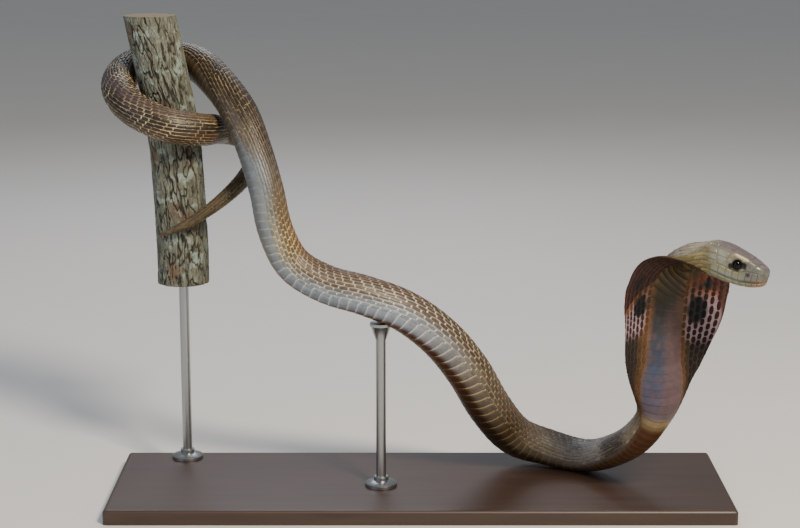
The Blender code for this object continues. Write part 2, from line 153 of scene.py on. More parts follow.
def make_floor():
    material, tree = new_material("pale_matt_card")
    coords = add(tree, "ShaderNodeTexCoord")
    grain = add(tree, "ShaderNodeTexNoise",
                inputs={"Vector": coords.outputs["Object"], "Scale": 6.0, "Detail": 4.0})
    shade = add(tree, "ShaderNodeMix", {"data_type": "RGBA"},
                {0: grain.outputs["Fac"], 6: rgba("#d9d8d4"), 7: rgba("#dedddb")})
    finish_material(tree, Base_Color=shade.outputs[2], Roughness=0.85)
    bm = bmesh.new()
    bmesh.ops.create_grid(bm, x_segments=1, y_segments=1, size=FLOOR_SIZE / 2.0)
    show("floor", mesh_of("floor", bm), material)


def soft_light(name, place, aim, size, power, colour):
    data = bpy.data.lights.new(name, "AREA")
    data.shape = "DISK"
    data.size = size
    data.energy = power
    data.color = linear(colour)
    lamp = bpy.data.objects.new(name, data)
    lamp.location = place
    lamp.rotation_euler = (Vector(aim) - Vector(place)).to_track_quat("-Z", "Y").to_euler()
    bpy.context.scene.collection.objects.link(lamp)


make_floor()
for name, place, size, power, colour in LIGHTS:
    soft_light(name, place, LIT_MIDDLE, size, power, colour)
world = bpy.data.worlds.new("studio_air")
world.use_nodes = True
air = world.node_tree.nodes["Background"].inputs
air["Color"].default_value = rgba("#dfe4ea")
air["Strength"].default_value = AIR_LIGHT
bpy.context.scene.world = world
print("studio ready")

# %% [markdown]
# ## The middle line of the body
# A snake is one long tube, so everything hangs on its middle line. The rows below are the same ones
# that the solids were made from: a place, a half width and the way the belly faces. A smooth curve
# runs through them, and each place on the body is then named by its distance behind the snout.

# %% Route of the body
# Each row: x, y, z, half width, and the way the belly faces (x, y, z).
HEAD_AND_BODY = (
    (256.9, -114.0, 209.4, 12.0, -0.25, 0.05, -1.0),
    (237.2, -103.0, 213.8, 12.0, -0.25, 0.05, -1.0),
    (216.8, -91.5, 217.0, 13.0, -0.05, 0.00, -1.0),
    (206.5, -83.6, 216.4, 13.5, 0.20, -0.25, -1.0),
    (198.0, -74.0, 211.0, 14.0, 0.38, -0.58, -0.8),
    (192.2, -65.2, 200.5, 14.0, 0.45, -0.82, -0.4),
    (189.2, -60.0, 186.0, 14.0, 0.46, -0.88, -0.1),
    (188.4, -57.6, 171.0, 14.0, 0.45, -0.89, 0.0),
    (187.0, -57.0, 148.7, 14.0, 0.40, -0.92, 0.0),
    (187.0, -56.0, 121.8, 14.0, 0.25, -0.97, 0.0),
    (186.4, -50.0, 88.0, 13.4, 0.12, -0.97, -0.2),
    (175.8, -31.0, 60.0, 13.8, 0.15, -0.70, -0.7),
    (159.5, -4.5, 39.0, 14.0, 0.10, -0.50, -0.9),
    (138.5, 23.0, 25.6, 14.4, 0.0, -0.20, -1.0),
    (108.0, 37.0, 28.3, 16.2, -0.1, -0.20, -1.0),
    (80.6, 36.0, 38.6, 18.0, -0.5, -0.40, -0.8),
    (58.6, 22.0, 67.1, 19.0, -0.8, -0.45, -0.5),
    (38.7, 6.0, 104.1, 19.2, -0.8, -0.40, -0.5),
    (16.3, -6.0, 134.1, 18.6, -0.65, -0.25, -0.7),
    (-12.0, -13.0, 157.3, 17.8, -0.35, -0.10, -0.9),
    (-44.0, -13.0, 170.5, 17.0, -0.10, 0.05, -1.0),
    (-76.1, -8.0, 179.2, 16.3, -0.25, 0.15, -1.0),
    (-102.0, -2.0, 194.3, 15.8, -0.65, 0.10, -0.7),
    (-116.1, 0.0, 221.7, 15.2, -0.95, -0.05, -0.2),
    (-123.1, 4.0, 253.5, 14.8, -0.95, -0.10, -0.1),
    (-133.5, 18.0, 284.8, 15.0, -0.90, 0.00, -0.3),
    (-147.0, 37.0, 313.0, 15.6, -0.80, 0.10, -0.6),
)
# The turn round the stem: degrees from +X seen from above, height, half width
STEM_TURN = ((22.0, 339.5, 15.4), (55.0, 346.5, 15.2), (90.0, 348.0, 15.0),
             (135.0, 343.0, 14.8), (180.0, 331.2, 14.5), (225.0, 316.2, 14.2),
             (270.0, 303.9, 14.0), (315.0, 298.0, 13.3), (350.0, 295.5, 12.4))
TAIL = (
    (-165.5, 84.0, 289.5, 11.4, -0.5, 0.10, -0.9),
    (-156.0, 94.0, 286.0, 10.8, -0.1, -0.10, -1.0),
    (-143.0, 93.5, 281.0, 10.0, -0.1, -0.10, -1.0),
    (-134.5, 84.0, 276.0, 9.1, -0.2, 0.00, -1.0),
    (-134.8, 70.5, 269.5, 8.3, -0.3, 0.10, -1.0),
    (-141.0, 53.0, 259.5, 7.3, -0.3, 0.30, -1.0),
    (-151.5, 39.0, 248.5, 6.4, -0.2, 0.50, -0.9),
    (-166.9, 31.5, 236.0, 5.4, -0.1, 0.80, -0.6),
    (-183.5, 31.5, 224.6, 4.4, 0.0, 1.00, -0.4),
    (-200.4, 32.5, 215.7, 3.2, 0.2, 1.00, -0.3),
    (-216.1, 38.0, 208.7, 1.2, 0.5, 0.90, -0.2),
)
STEM_Y = 60.0
STEM_RADIUS = 21.2
STEM_AXIS = ((150.0, -197.4), (193.0, -197.2), (235.0, -198.7), (277.0, -201.0),
             (319.0, -206.5), (360.0, -214.4), (400.0, -222.3))
TURN_REACH = STEM_RADIUS + 2.4      # from the stem's axis to the flesh


def columns_at(rows, at):
    """Reads a table between its rows: one result for each column after the first one."""
    keys, *columns = zip(*rows)
    return [np.interp(at, keys, column) for column in columns]


def stem_x(height):
    return columns_at(STEM_AXIS, height)[0]


def turn_rows():
    rows = []
    for degrees, height, half_width in STEM_TURN:
        angle = math.radians(degrees)
        out = (math.cos(angle), math.sin(angle))
        reach = TURN_REACH + half_width
        rows.append((stem_x(height) + reach * out[0], STEM_Y + reach * out[1], height,
                     half_width, -0.9 * out[0], -0.9 * out[1], -0.35))
    return rows


# %% A smooth curve through rows of values
def through(keys, values, at):
    keys = np.asarray(keys, float)
    values = np.asarray(values, float)
    slopes = np.empty_like(values)
    slopes[1:-1] = (values[2:] - values[:-2]) / (keys[2:] - keys[:-2])[:, None]
    slopes[0] = (values[1] - values[0]) / (keys[1] - keys[0])
    slopes[-1] = (values[-1] - values[-2]) / (keys[-1] - keys[-2])
    at = np.clip(np.atleast_1d(at), keys[0], keys[-1])
    left = np.clip(np.searchsorted(keys, at, side="right") - 1, 0, len(keys) - 2)
    span = (keys[left + 1] - keys[left])[:, None]
    t = (at - keys[left])[:, None] / span
    return ((2 * t**3 - 3 * t**2 + 1) * values[left] + (t**3 - 2 * t**2 + t) * span * slopes[left]
            + (3 * t**2 - 2 * t**3) * values[left + 1] + (t**3 - t**2) * span * slopes[left + 1])


def lengths_along(points):
    """Length from the first point to each point, along the chain of all of them."""
    return np.concatenate(([0.0], np.cumsum(np.linalg.norm(np.diff(points, axis=0), axis=1))))


CURVE_SAMPLES = 6000
FRAME_STEP = 1.5
ROUTE = np.array([*HEAD_AND_BODY, *turn_rows(), *TAIL], float)
route_keys = lengths_along(ROUTE[:, :3])
LINE = through(route_keys, ROUTE, np.linspace(0.0, route_keys[-1], CURVE_SAMPLES))
BEHIND = lengths_along(LINE[:, :3])
LENGTH = float(BEHIND[-1])


def line_at(s):
    return np.array([np.interp(s, BEHIND, column) for column in LINE.T]).T


def half_width_at(s):
    return np.interp(s, BEHIND, LINE[:, 3])


def frame_at(s):
    """A place on the middle line, and the ways to the tail, the belly and the right flank."""
    here = line_at(s)
    tailward = line_at(min(s + FRAME_STEP, LENGTH))[:3] - line_at(max(s - FRAME_STEP, 0.0))[:3]
    tailward /= np.linalg.norm(tailward)
    belly = here[4:7] - np.dot(here[4:7], tailward) * tailward
    belly /= np.linalg.norm(belly)
    return here[:3], tailward, belly, np.cross(tailward, belly)


print(f"the cobra is {LENGTH:.0f} mm long")

# %% [markdown]
# ## Cross-sections
# Each cross-section is half an outline, from the middle of the back down to the middle of the belly,
# and the other half is its mirror image. The head is boxy with a mouth line let into its side, the
# hood is a pair of thin wings with the body as a ridge between them, and the rest is nearly round.
# The skin lies a little inside the solids, so that the scales on it end where the solids do.

# %% Cross-section tables
# Head, by distance behind the snout: half width, height over and depth under the middle line, mouth
HEAD_FORM = np.array((
    (0.0, 4.4, 3.2, 7.4, 5.4), (0.8, 6.2, 4.2, 8.6, 5.8), (2.2, 7.7, 5.2, 9.6, 6.2),
    (4.5, 9.0, 6.4, 10.6, 6.8), (8.0, 10.1, 7.9, 11.8, 7.6), (12.5, 11.1, 9.6, 12.7, 8.5),
    (17.0, 12.3, 10.9, 13.2, 8.9), (21.5, 13.5, 12.1, 13.2, 8.6), (27.0, 14.9, 13.6, 12.9, 7.6),
    (33.0, 16.0, 14.7, 12.0, 6.0), (39.0, 16.2, 15.2, 11.0, 5.0), (46.0, 15.4, 14.9, 10.6, 5.4),
    (54.0, 14.4, 13.6, 11.0, 6.2), (62.0, 14.0, 12.6, 11.4, 6.8)))
# Hood: half width, forward sweep of the edges, height behind and before the middle line
HOOD_FORM = np.array((
    (42.0, 18.0, -2.0, 12.5, 11.0), (50.0, 35.0, -4.8, 12.4, 10.2), (57.0, 46.5, -6.4, 12.0, 9.0),
    (64.0, 50.0, -4.2, 11.2, 8.0), (72.0, 51.0, 2.0, 10.4, 7.0), (81.0, 50.4, 9.0, 10.0, 6.2),
    (92.0, 50.0, 13.5, 9.8, 5.8), (104.0, 49.2, 16.0, 9.8, 5.8), (117.0, 47.4, 16.5, 10.2, 6.4),
    (132.0, 43.6, 15.5, 10.6, 7.2), (148.0, 38.4, 12.5, 11.2, 8.8), (163.0, 32.4, 8.5, 11.8, 10.2),
    (178.0, 26.0, 5.0, 12.4, 11.4), (192.0, 20.4, 2.5, 12.8, 12.2), (206.0, 15.8, 0.5, 13.0, 12.8),
    (224.0, 13.8, 0.0, 13.3, 13.0)))
HALF = 60                   # steps of a half ring, from the back to the belly
LIP = 28                    # the step of the upper lip, and of the hood's rim
EDGE = 44                   # the step where the belly scutes begin
COAT = 0.5                  # how far the skin lies inside the solids
HEAD_COAT = 0.3
CROWN_POWER, CHIN_POWER = 0.62, 0.74
CROWN_SPREAD = 1.5          # crowds the points towards the crown's middle
LIP_HEIGHT, LIP_DEPTH = 0.45, 0.9
LOWEST_LIP = 0.999          # a lip's share of the depth of the head, at most
MOUTH_FADE = (33.0, 39.0)
BROW_SPAN = (7.5, 14.5, 24.0, 32.0)
BROW_ANGLE, BROW_WIDTH, BROW_RISE = 50.0, 14.0, 1.1
NECK_BLEND = (42.0, 57.0)
HOOD_BLEND = (204.0, 224.0)
HOOD_EDGE = 1.1
CORE_HALF_WIDTH = 15.0
SPREAD_FROM, SPREAD_RANGE = 15.0, 18.0
SCUTE_ANGLE = 58.0
BACK_HEIGHT, BELLY_DEPTH, BELLY_POWER = 0.97, 0.93, 0.9


def ease(start, end, at):
    t = np.clip((at - start) / (end - start), 0.0, 1.0)
    return t * t * (3.0 - 2.0 * t)


def plateau(start, full, fading, end, at):
    """Rises from zero to one, stays there, and falls back to zero."""
    return ease(start, full, at) * (1.0 - ease(fading, end, at))


# %% Head section
def head_half(s):
    width, top, bottom, mouth = through(HEAD_FORM[:, 0], HEAD_FORM[:, 1:], s)[0]

    def angle_of(down):
        return math.acos(-min(max(down / bottom, 0.0), LOWEST_LIP)**(1.0 / CHIN_POWER))

    lips = [angle_of(mouth + shift) for shift in (-LIP_HEIGHT, 0.0, LIP_HEIGHT)]
    crown = lips[0] * np.linspace(0.0, 1.0, LIP + 1)**CROWN_SPREAD
    angles = np.concatenate((crown, lips[1:], np.linspace(lips[2], math.pi, HALF - LIP - 1)[1:]))
    sine, cosine = np.abs(np.sin(angles)), np.cos(angles)
    across = (width - HEAD_COAT) * sine**CROWN_POWER
    over = -(top - HEAD_COAT) * np.clip(cosine, 0.0, 1.0)**CROWN_POWER
    under = (bottom - HEAD_COAT) * np.clip(-cosine, 0.0, 1.0)**CHIN_POWER
    down = np.where(cosine > 0.0, over, under)
    across[LIP + 1] -= LIP_DEPTH * (1.0 - ease(*MOUTH_FADE, s))
    brow = BROW_RISE * plateau(*BROW_SPAN, s)
    bump = brow * np.exp(-((np.degrees(angles) - BROW_ANGLE) / BROW_WIDTH)**2)
    across += bump
    down -= 0.5 * bump
    across[[0, -1]] = 0.0
    return np.stack((across, down), axis=1)


# %% Hood and body sections
STEPS = np.arange(HALF + 1)
ROUND_ANGLES = np.radians(np.interp(STEPS, (0, LIP, EDGE, HALF), (0.0, 90.0, 180.0 - SCUTE_ANGLE, 180.0)))
TO_RIM = np.clip(STEPS / LIP, 0.0, 1.0)
WING_BACK = 0.5 * TO_RIM + 0.5 * np.sin(0.5 * math.pi * TO_RIM)
FROM_RIM = np.clip((STEPS - LIP) / (EDGE - LIP), 0.0, 1.0)
FRONT_SHARE = 1.0 - 0.5 * FROM_RIM - 0.5 * (1.0 - np.cos(0.5 * math.pi * FROM_RIM))
TO_BELLY = np.clip((STEPS - EDGE) / (HALF - EDGE), 0.0, 1.0)


def hood_half(s):
    half_width, sweep, behind, before = through(HOOD_FORM[:, 0], HOOD_FORM[:, 1:], s)[0]
    spread = min(max((half_width - SPREAD_FROM) / SPREAD_RANGE, 0.0), 1.0)
    edge = CORE_HALF_WIDTH / half_width
    wing = np.where(STEPS <= LIP, WING_BACK, edge + (1.0 - edge) * FRONT_SHARE) * (1.0 - TO_BELLY)
    part = (1.0 - spread) * np.sin(ROUND_ANGLES) + spread * wing
    rim = np.sqrt(np.clip(1.0 - part**2, 0.0, 1.0))
    hump = np.exp(-spread * (part * half_width / CORE_HALF_WIDTH)**2)
    thin = spread * HOOD_EDGE
    back = STEPS <= LIP
    height = np.where(back, behind - COAT, before - COAT)
    stand = rim * (thin + (height - thin) * hump)
    down = sweep * part**2 + np.where(back, -stand, stand)
    return np.stack((part * (half_width - COAT), down), axis=1)


def body_half(s):
    half_width = half_width_at(s) - COAT
    sine, cosine = np.sin(ROUND_ANGLES), np.cos(ROUND_ANGLES)
    under = BELLY_DEPTH * np.clip(-cosine, 0.0, 1.0)**BELLY_POWER
    down = half_width * np.where(cosine > 0.0, -BACK_HEIGHT * cosine, under)
    return np.stack((half_width * sine, down), axis=1)


def half_ring(s):
    if s < NECK_BLEND[1]:
        share = ease(*NECK_BLEND, s)
        return head_half(s) * (1.0 - share) + (share * hood_half(s) if share > 0.0 else 0.0)
    share = ease(*HOOD_BLEND, s)
    if share >= 1.0:
        return body_half(s)
    return hood_half(s) * (1.0 - share) + (share * body_half(s) if share > 0.0 else 0.0)


# %% [markdown]
# ## The hide
# Rings of points along the middle line make one closed hide. It is kept as a grid of numbers first,
# because scales, scutes and shields all ask it the same question: where on the body is this place,
# and which way is out? A place is named by its distance behind the snout and by its way round, from
# 0 at the middle of the back, over 1 where the belly scutes begin, to 2 at the middle of the belly.
# The right side counts up and the left side counts down.

# %% Rings of the hide
SNOUT_CAP = 4.4             # the rounded tip of the snout counts from minus this
SNOUT_BULGE, SNOUT_DROP = 0.5, 1.4
CAP_INSIDE = 5.0            # the mouth line round the tip is pressed towards a point so far inside
CAP_GROOVE, CAP_GROOVE_WIDTH = 0.55, 0.5
HEAD_STEP, HOOD_STEP, BODY_STEP = 0.5, 1.0, 2.5
TAIL_CONE = 3.0
FLOOR = 12.3                # top of the stand's board with its clearance
STATIONS = np.concatenate((
    SNOUT_CAP * (np.array([0.0, 0.16, 0.34, 0.52, 0.68, 0.82, 0.93]) - 1.0),
    np.arange(0.0, NECK_BLEND[1], HEAD_STEP), np.arange(NECK_BLEND[1], HOOD_BLEND[1], HOOD_STEP),
    np.arange(HOOD_BLEND[1], LENGTH - TAIL_CONE, BODY_STEP),
    np.linspace(LENGTH - TAIL_CONE, LENGTH, 5)))


def whole_ring(s):
    half = half_ring(max(s, 0.0))
    centre, tailward, belly, flank = frame_at(min(max(s, 0.0), LENGTH))
    if s < 0.0:
        share = 1.0 + s / SNOUT_CAP
        half = half * share + np.array((0.0, SNOUT_DROP)) * (1.0 - share)
        centre = centre - SNOUT_BULGE * (1.0 - share**2) * tailward
        half[LIP + 1] = 0.5 * (half[LIP] + half[LIP + 2])
    half = half * min(max((LENGTH - s) / TAIL_CONE, 0.0), 1.0)
    both = np.concatenate((half, half[-2::-1] * (-1.0, 1.0)))
    ring = centre + both[:, :1] * flank + both[:, 1:] * belly
    ring[:, 2] = np.maximum(ring[:, 2], FLOOR + COAT)
    return ring


RINGS = np.array([whole_ring(s) for s in STATIONS])


def outward(grid):
    along = np.gradient(grid, axis=0)
    wrapped = np.concatenate((grid[:, -2:-1], grid, grid[:, 1:2]), axis=1)
    around = wrapped[:, 2:] - wrapped[:, :-2]
    normals = np.cross(along, around)
    return normals / np.maximum(np.linalg.norm(normals, axis=2, keepdims=True), 1e-9)


NORMALS = outward(RINGS)
if np.mean(np.sum(NORMALS * (RINGS - RINGS.mean(axis=1, keepdims=True)), axis=2)) < 0.0:
    NORMALS = -NORMALS
print(len(STATIONS), "rings of", 2 * HALF, "points")

# %% Eyes and nostrils in the hide
EYE_AT, EYE_UP, EYE_RADIUS, EYE_PROUD = 21.0, 3.6, 3.7, 2.2
EYE_RIM, RIM_AWAY, RIM_WIDTH = 0.45, 0.5, 0.7
NOSTRIL_AT, NOSTRIL_DOWN, NOSTRIL_RADIUS, NOSTRIL_DEPTH = 11.8, 2.4, 1.2, 1.3


def beside_head(at, down, out):
    centre, _, belly, flank = frame_at(at)
    return [centre + side * out * flank + down * belly for side in (1.0, -1.0)]


eye_out = np.interp(EYE_AT, HEAD_FORM[:, 0], HEAD_FORM[:, 1]) - EYE_RADIUS + EYE_PROUD
EYES = beside_head(EYE_AT, -EYE_UP, eye_out)
nostril_out = np.interp(NOSTRIL_AT, HEAD_FORM[:, 0], HEAD_FORM[:, 1])
NOSTRILS = beside_head(NOSTRIL_AT, NOSTRIL_DOWN, nostril_out)

def press_mouth_line(rings):
    """Presses the mouth line round the snout's tip towards a point inside the head."""
    centre, tailward, belly, _ = frame_at(0.0)
    fall = (rings - centre) @ belly
    outwards = rings - centre - CAP_INSIDE * tailward
    outwards /= np.linalg.norm(outwards, axis=2, keepdims=True)
    on_line = (STATIONS < 0.0)[:, None] * np.exp(-((fall - HEAD_FORM[0, 4]) / CAP_GROOVE_WIDTH)**2)
    return rings - CAP_GROOVE * on_line[:, :, None] * outwards


relief = np.zeros(RINGS.shape[:2])
for eye in EYES:
    apart = np.linalg.norm(RINGS - eye, axis=2)
    relief += EYE_RIM * np.exp(-((apart - EYE_RADIUS - RIM_AWAY) / RIM_WIDTH)**2)
for nostril in NOSTRILS:
    apart = np.linalg.norm(RINGS - nostril, axis=2) / NOSTRIL_RADIUS
    relief -= NOSTRIL_DEPTH * np.exp(-apart**2)
RINGS = press_mouth_line(RINGS + relief[:, :, None] * NORMALS)
NORMALS = outward(RINGS) * np.sign(np.sum(outward(RINGS) * NORMALS, axis=2, keepdims=True))

# %% Places on the hide
PER_UNIT = 96               # samples for each unit of the way round


def way_round(ring):
    """Way round at each point of a half ring, 0 to 2, by the length along the surface."""
    arc = lengths_along(ring)
    back, belly_arc = max(arc[EDGE], 1e-6), max(arc[-1] - arc[EDGE], 1e-6)
    return np.where(arc <= arc[EDGE], arc / back, 1.0 + (arc - arc[EDGE]) / belly_arc)


def even_round(grid, values):
    """Values of the grid's points, read at even steps of the way round, from -2 to 2."""
    steps = np.linspace(0.0, 2.0, 2 * PER_UNIT + 1)
    rows = []
    for ring, row in zip(grid, values):
        right, left = way_round(ring[:HALF + 1]), way_round(ring[:HALF - 1:-1])
        one = np.stack([np.interp(steps, right, row[:HALF + 1, k]) for k in range(3)], axis=1)
        two = np.stack([np.interp(steps, left, row[:HALF - 1:-1, k]) for k in range(3)], axis=1)
        rows.append(np.concatenate((two[:0:-1], one)))
    return np.array(rows)


EVEN_POINTS = even_round(RINGS, RINGS)
EVEN_NORMALS = even_round(RINGS, NORMALS)


def blend_cells(grid, row, column):
    r = np.clip(row.astype(int), 0, grid.shape[0] - 2)
    c = np.clip(column.astype(int), 0, grid.shape[1] - 2)
    a, b = (row - r)[..., None], (column - c)[..., None]
    top = grid[r, c] * (1.0 - b) + grid[r, c + 1] * b
    low = grid[r + 1, c] * (1.0 - b) + grid[r + 1, c + 1] * b
    return top * (1.0 - a) + low * a


def ring_number(s):
    return np.interp(s, STATIONS, np.arange(len(STATIONS)))


def on_hide(s, g, height):
    """Points that stand a height off the hide at a distance behind the snout and a way round."""
    row = ring_number(s)
    column = np.mod(g + 2.0, 4.0) * PER_UNIT
    points = blend_cells(EVEN_POINTS, row, column) \
        + np.asarray(height)[..., None] * blend_cells(EVEN_NORMALS, row, column)
    points[..., 2] = np.maximum(points[..., 2], FLOOR)
    return points


print("hide ready")

# %% [markdown]
# ## Markings
# Skin, scales and scutes must agree on their markings, so one set of functions paints them all. They
# work from the place on the body and never from a picture. Each scale gets two tones, one for its
# middle and one for its border, and the skin between the scales gets a third.
#
# The back is dark brown with pale scale borders, the flanks turn blue-grey and the belly warm brown.
# The middle of the body is paler, one bend is golden, and the hood has its own pattern in front: two
# black spots with a lilac net round them. Behind, where this view doesn't reach, it has the pale
# spectacle mark of the species. Part of these tones is painted light: the blue-grey flanks and the
# paler middle hold a painted reflection of the sky, the back of the coil a painted sheen, the neck's
# ridge and the brow painted highlights, the forebody and the end of the coil painted light, and some
# stretches of the body, the coil and the top of the hood's front painted shade.

# %% Tones along the body
# Behind the snout: back, side, flank, and the border of the scales
SCALE_TONES = (
    # From 38 to 60 the pale back of the neck is partly a painted highlight along its ridge.
    (38.0, "#77715f", "#7d7862", "#857c5c", "#928b70"),
    (47.0, "#827c6a", "#665f45", "#5a4f2c", "#80785c"),
    (60.0, "#7a7260", "#4f4730", "#4d4324", "#6d6448"),
    (200.0, "#37281c", "#34251a", "#453426", "#6d583f"),
    # At 225 and 285 the tones are lightened with painted light from above, brightest at 285, where the side
    # holds a painted highlight.
    (225.0, "#675b4b", "#7d7568", "#857862", "#968d7c"),
    (285.0, "#867f75", "#a29d96", "#8d877d", "#b4aea2"),
    (345.0, "#5c5145", "#6d6459", "#6b6153", "#96835f"),
    # At 400 the tones are darkened with painted shade, where the body's own shadow falls.
    (400.0, "#45331f", "#3a2c1e", "#3e3224", "#836c46"),
    (460.0, "#463322", "#45372a", "#665d53", "#bfab82"),
    # From 540 to 715 the blue-grey of the flanks is a painted reflection of the sky.
    (540.0, "#4d3826", "#54463a", "#848d97", "#f2ebdb"),
    (615.0, "#4f3d2c", "#564839", "#808990", "#eee4ca"),
    (655.0, "#6a4d2b", "#625033", "#7d7a68", "#e6d2a0"),
    (690.0, "#57452f", "#5a4c3a", "#6e7272", "#bba97f"),
    (715.0, "#473d34", "#4d453b", "#697074", "#89857e"),
    (740.0, "#3d332c", "#32271d", "#544c42", "#bda671"),
    # From 800 to 940 the coil is darkened with painted shade and its back holds a painted grey-purple sheen;
    # at 1040 the loop's end is lightened with painted light.
    (800.0, "#322a29", "#221a13", "#2c2218", "#d2b97f"),
    (940.0, "#383036", "#1e1610", "#2a2016", "#e4d2a4"),
    (1040.0, "#554534", "#2b2017", "#49331d", "#ecdaa8"),
    (1110.0, "#382d22", "#2f2418", "#3e301e", "#b8a06c"),
    (1269.0, "#5a4c34", "#4e412a", "#584a30", "#94805b"),
)
# Behind the snout: middle of a scute, its two ends, and its free edge
SCUTE_TONES = (
    (25.0, "#7f7853", "#847d5c", "#918a68"),
    (50.0, "#5c5228", "#5e562f", "#261e0c"),
    (70.0, "#4c3d18", "#4a3c16", "#1a1305"),
    (92.0, "#48391a", "#5e441e", "#1f170a"),
    (106.0, "#383020", "#654622", "#241f18"),
    (120.0, "#2c2c2c", "#684626", "#3a332c"),
    (145.0, "#323844", "#5e4634", "#4c3d38"),
    (172.0, "#3c4458", "#544440", "#4f4140"),
    (195.0, "#4c4656", "#52454c", "#5a4846"),
    (204.0, "#5a5056", "#574a44", "#665448"),
    (208.0, "#857253", "#786649", "#877455"),
    (214.0, "#7f6c4a", "#716046", "#7d6a4a"),
    (218.0, "#4f2f1b", "#5a4230", "#634430"),
    (300.0, "#54402c", "#6b655b", "#77654c"),
    # At 400 the scutes are darkened with painted shade, where the body's own shadow falls.
    (400.0, "#2c2216", "#3a2e1f", "#665334"),
    (460.0, "#452a17", "#675d54", "#a5946f"),
    # From 540 to 722 the blue-grey and whitish tones of the scutes hold a painted reflection of the sky.
    (540.0, "#55331c", "#888f98", "#c6c9cb"),
    (620.0, "#583920", "#828990", "#bdc0c0"),
    (655.0, "#7c766a", "#7e8384", "#9c9d97"),
    (690.0, "#717474", "#777c7e", "#7f8484"),
    (722.0, "#646768", "#676e72", "#6e7577"),
    (760.0, "#4c4236", "#4c473f", "#716449"),
    (900.0, "#4c3521", "#44331f", "#7f6039"),
    (1269.0, "#5f4a2e", "#584728", "#8d7748"),
)
# Behind the snout: how clearly the long sides and the tips of the scales are outlined
OUTLINES = (
    (38.0, 0.25, 0.3), (60.0, 0.3, 0.3), (200.0, 0.4, 0.35), (225.0, 0.15, 0.2), (300.0, 0.15, 0.25),
    (345.0, 0.4, 0.5), (400.0, 0.6, 0.7), (460.0, 0.6, 0.85), (540.0, 0.66, 0.95), (620.0, 0.66, 0.95),
    (655.0, 0.8, 1.0), (690.0, 0.3, 0.35), (720.0, 0.25, 0.4), (745.0, 0.6, 1.05), (860.0, 0.66, 0.95),
    (1066.0, 0.85, 0.7), (1110.0, 0.85, 1.0), (1269.0, 0.8, 1.0),
)


def tones_at(rows, s):
    """One colour for each column of a table of tones, at many places behind the snout."""
    keys = [row[0] for row in rows]
    columns = []
    for k in range(1, len(rows[0])):
        stops = np.array([linear(row[k]) for row in rows])
        columns.append(np.stack([np.interp(s, keys, stops[:, c]) for c in range(3)], axis=-1))
    return columns


def mix(one, two, share):
    return one + (two - one) * np.asarray(share)[..., None]


def tint(tone, hex_colour, share):
    return mix(tone, linear(hex_colour), share)


def tint_both(tones, hex_colours, share):
    return [tint(tone, hex_colour, share) for tone, hex_colour in zip(tones, hex_colours)]


def mottle(s, g, size, seed):
    """Soft random patches over the body, about as large as the size in millimetres."""
    values = [noise.noise(Vector((a / size, b * 30.0 / size, seed)))
              for a, b in zip(np.ravel(s), np.ravel(g))]
    return np.reshape(values, np.shape(s))


# %% Markings of the hood
# Each mark of the front lies at a distance behind the snout and a way round
SPOT_AT, SPOT_ROUND = (121.5, 0.86), (10.5, 0.092)
SMALL_SPOT_AT, SMALL_SPOT_ROUND = (98.0, 0.785), (6.5, 0.042)
RIGHT_AHEAD = 9.0            # the marks of the snake's right lie so much nearer the head
NET_FROM = (99.0, 108.0)
NET_LILAC = (104.0, 120.0)
TOP_EDGE_AT, TOP_EDGE_SLANT = 110.0, 45.0     # where the painted shade at the top of the front ends on the snake's right
HOOD_ARC = 80.0             # length over the hood from its middle to where the scutes begin
RIM_AT = 0.6                # way round of the rim
SPECTACLE_AT, SPECTACLE_RADIUS = (112.0, 20.0), 9.0
BRIDGE_DROP = 22.0


def inside(value, half, soft):
    return 1.0 - ease(half - soft, half + soft, np.abs(value))


def oval(s, way, place, size):
    reach = np.hypot((s - place[0]) / size[0], (way - place[1]) / size[1])
    return 1.0 - ease(0.84, 1.08, reach)


def hood_front(s, g):
    """Scale middles, scale borders and skin on the wings' front, with painted shade at its top under the
    head.
    """
    way = np.abs(g)
    right = np.asarray(g) > 0.0
    at = s + RIGHT_AHEAD * right
    near_scutes = ease(0.8 + 0.06 * (1 - right), 0.99, way)
    lower = ease(142.0, 152.0, at + 40.0 * np.clip(way - 0.88, 0.0, 1.0))
    scale = mix(linear("#301710"), linear("#5e3c20"), near_scutes)
    skin = mix(linear("#42211a"), linear("#74502e"), near_scutes)
    scale = mix(scale, mix(linear("#1e1510"), linear("#54391f"), near_scutes), lower)
    skin = mix(skin, mix(linear("#2c231b"), linear("#573f27"), near_scutes), lower)
    rim_side = 0.67 - 0.06 * ease(108.0, 126.0, at)
    net = ease(*NET_FROM, at) * (1.0 - lower) * ease(rim_side, rim_side + 0.04, way) \
        * (1.0 - 0.75 * ease(0.9, 0.98, way))
    skin = mix(skin, mix(linear("#7a4c34"), linear("#927e84"), ease(*NET_LILAC, at)), net)
    scale = tint(scale, "#2a140e", 0.85 * net)
    # Painted shade darkens the top of the front under the head: dark brown on the snake's right, dark red on
    # its left.
    top_edge = at - TOP_EDGE_AT + TOP_EDGE_SLANT * (way - 0.84)
    top_shade_right = right * (1.0 - ease(-1.5, 1.0, top_edge))
    top_shade_left = (1 - right) * (1.0 - ease(94.0, 104.0, at))
    red = mix(linear("#2c0f09"), linear("#582b12"), ease(0.7, 0.9, way))
    scale, skin = tint_both((scale, skin), ("#2a1109", "#3a1a0f"), top_shade_right)
    scale, skin = mix(scale, red, top_shade_left), mix(skin, 1.25 * red, top_shade_left)
    edge_line = right * np.exp(-((top_edge - 2.0) / 2.0)**2)
    scale, skin = tint(scale, "#65401f", 0.6 * edge_line), tint(skin, "#7c532c", edge_line)
    throat_side = (1 - right) * ease(0.84, 0.92, way) * (1.0 - ease(88.0, 98.0, at))
    scale, skin = tint_both((scale, skin), ("#44361a", "#271e0c"), throat_side)
    black = linear("#050303")
    for place, size in ((SPOT_AT, SPOT_ROUND), (SMALL_SPOT_AT, SMALL_SPOT_ROUND)):
        spot = oval(at, way, place, size)
        scale, skin = mix(scale, black, spot), mix(skin, 1.6 * black, spot)
    return scale, mix(scale, skin, 0.45), skin


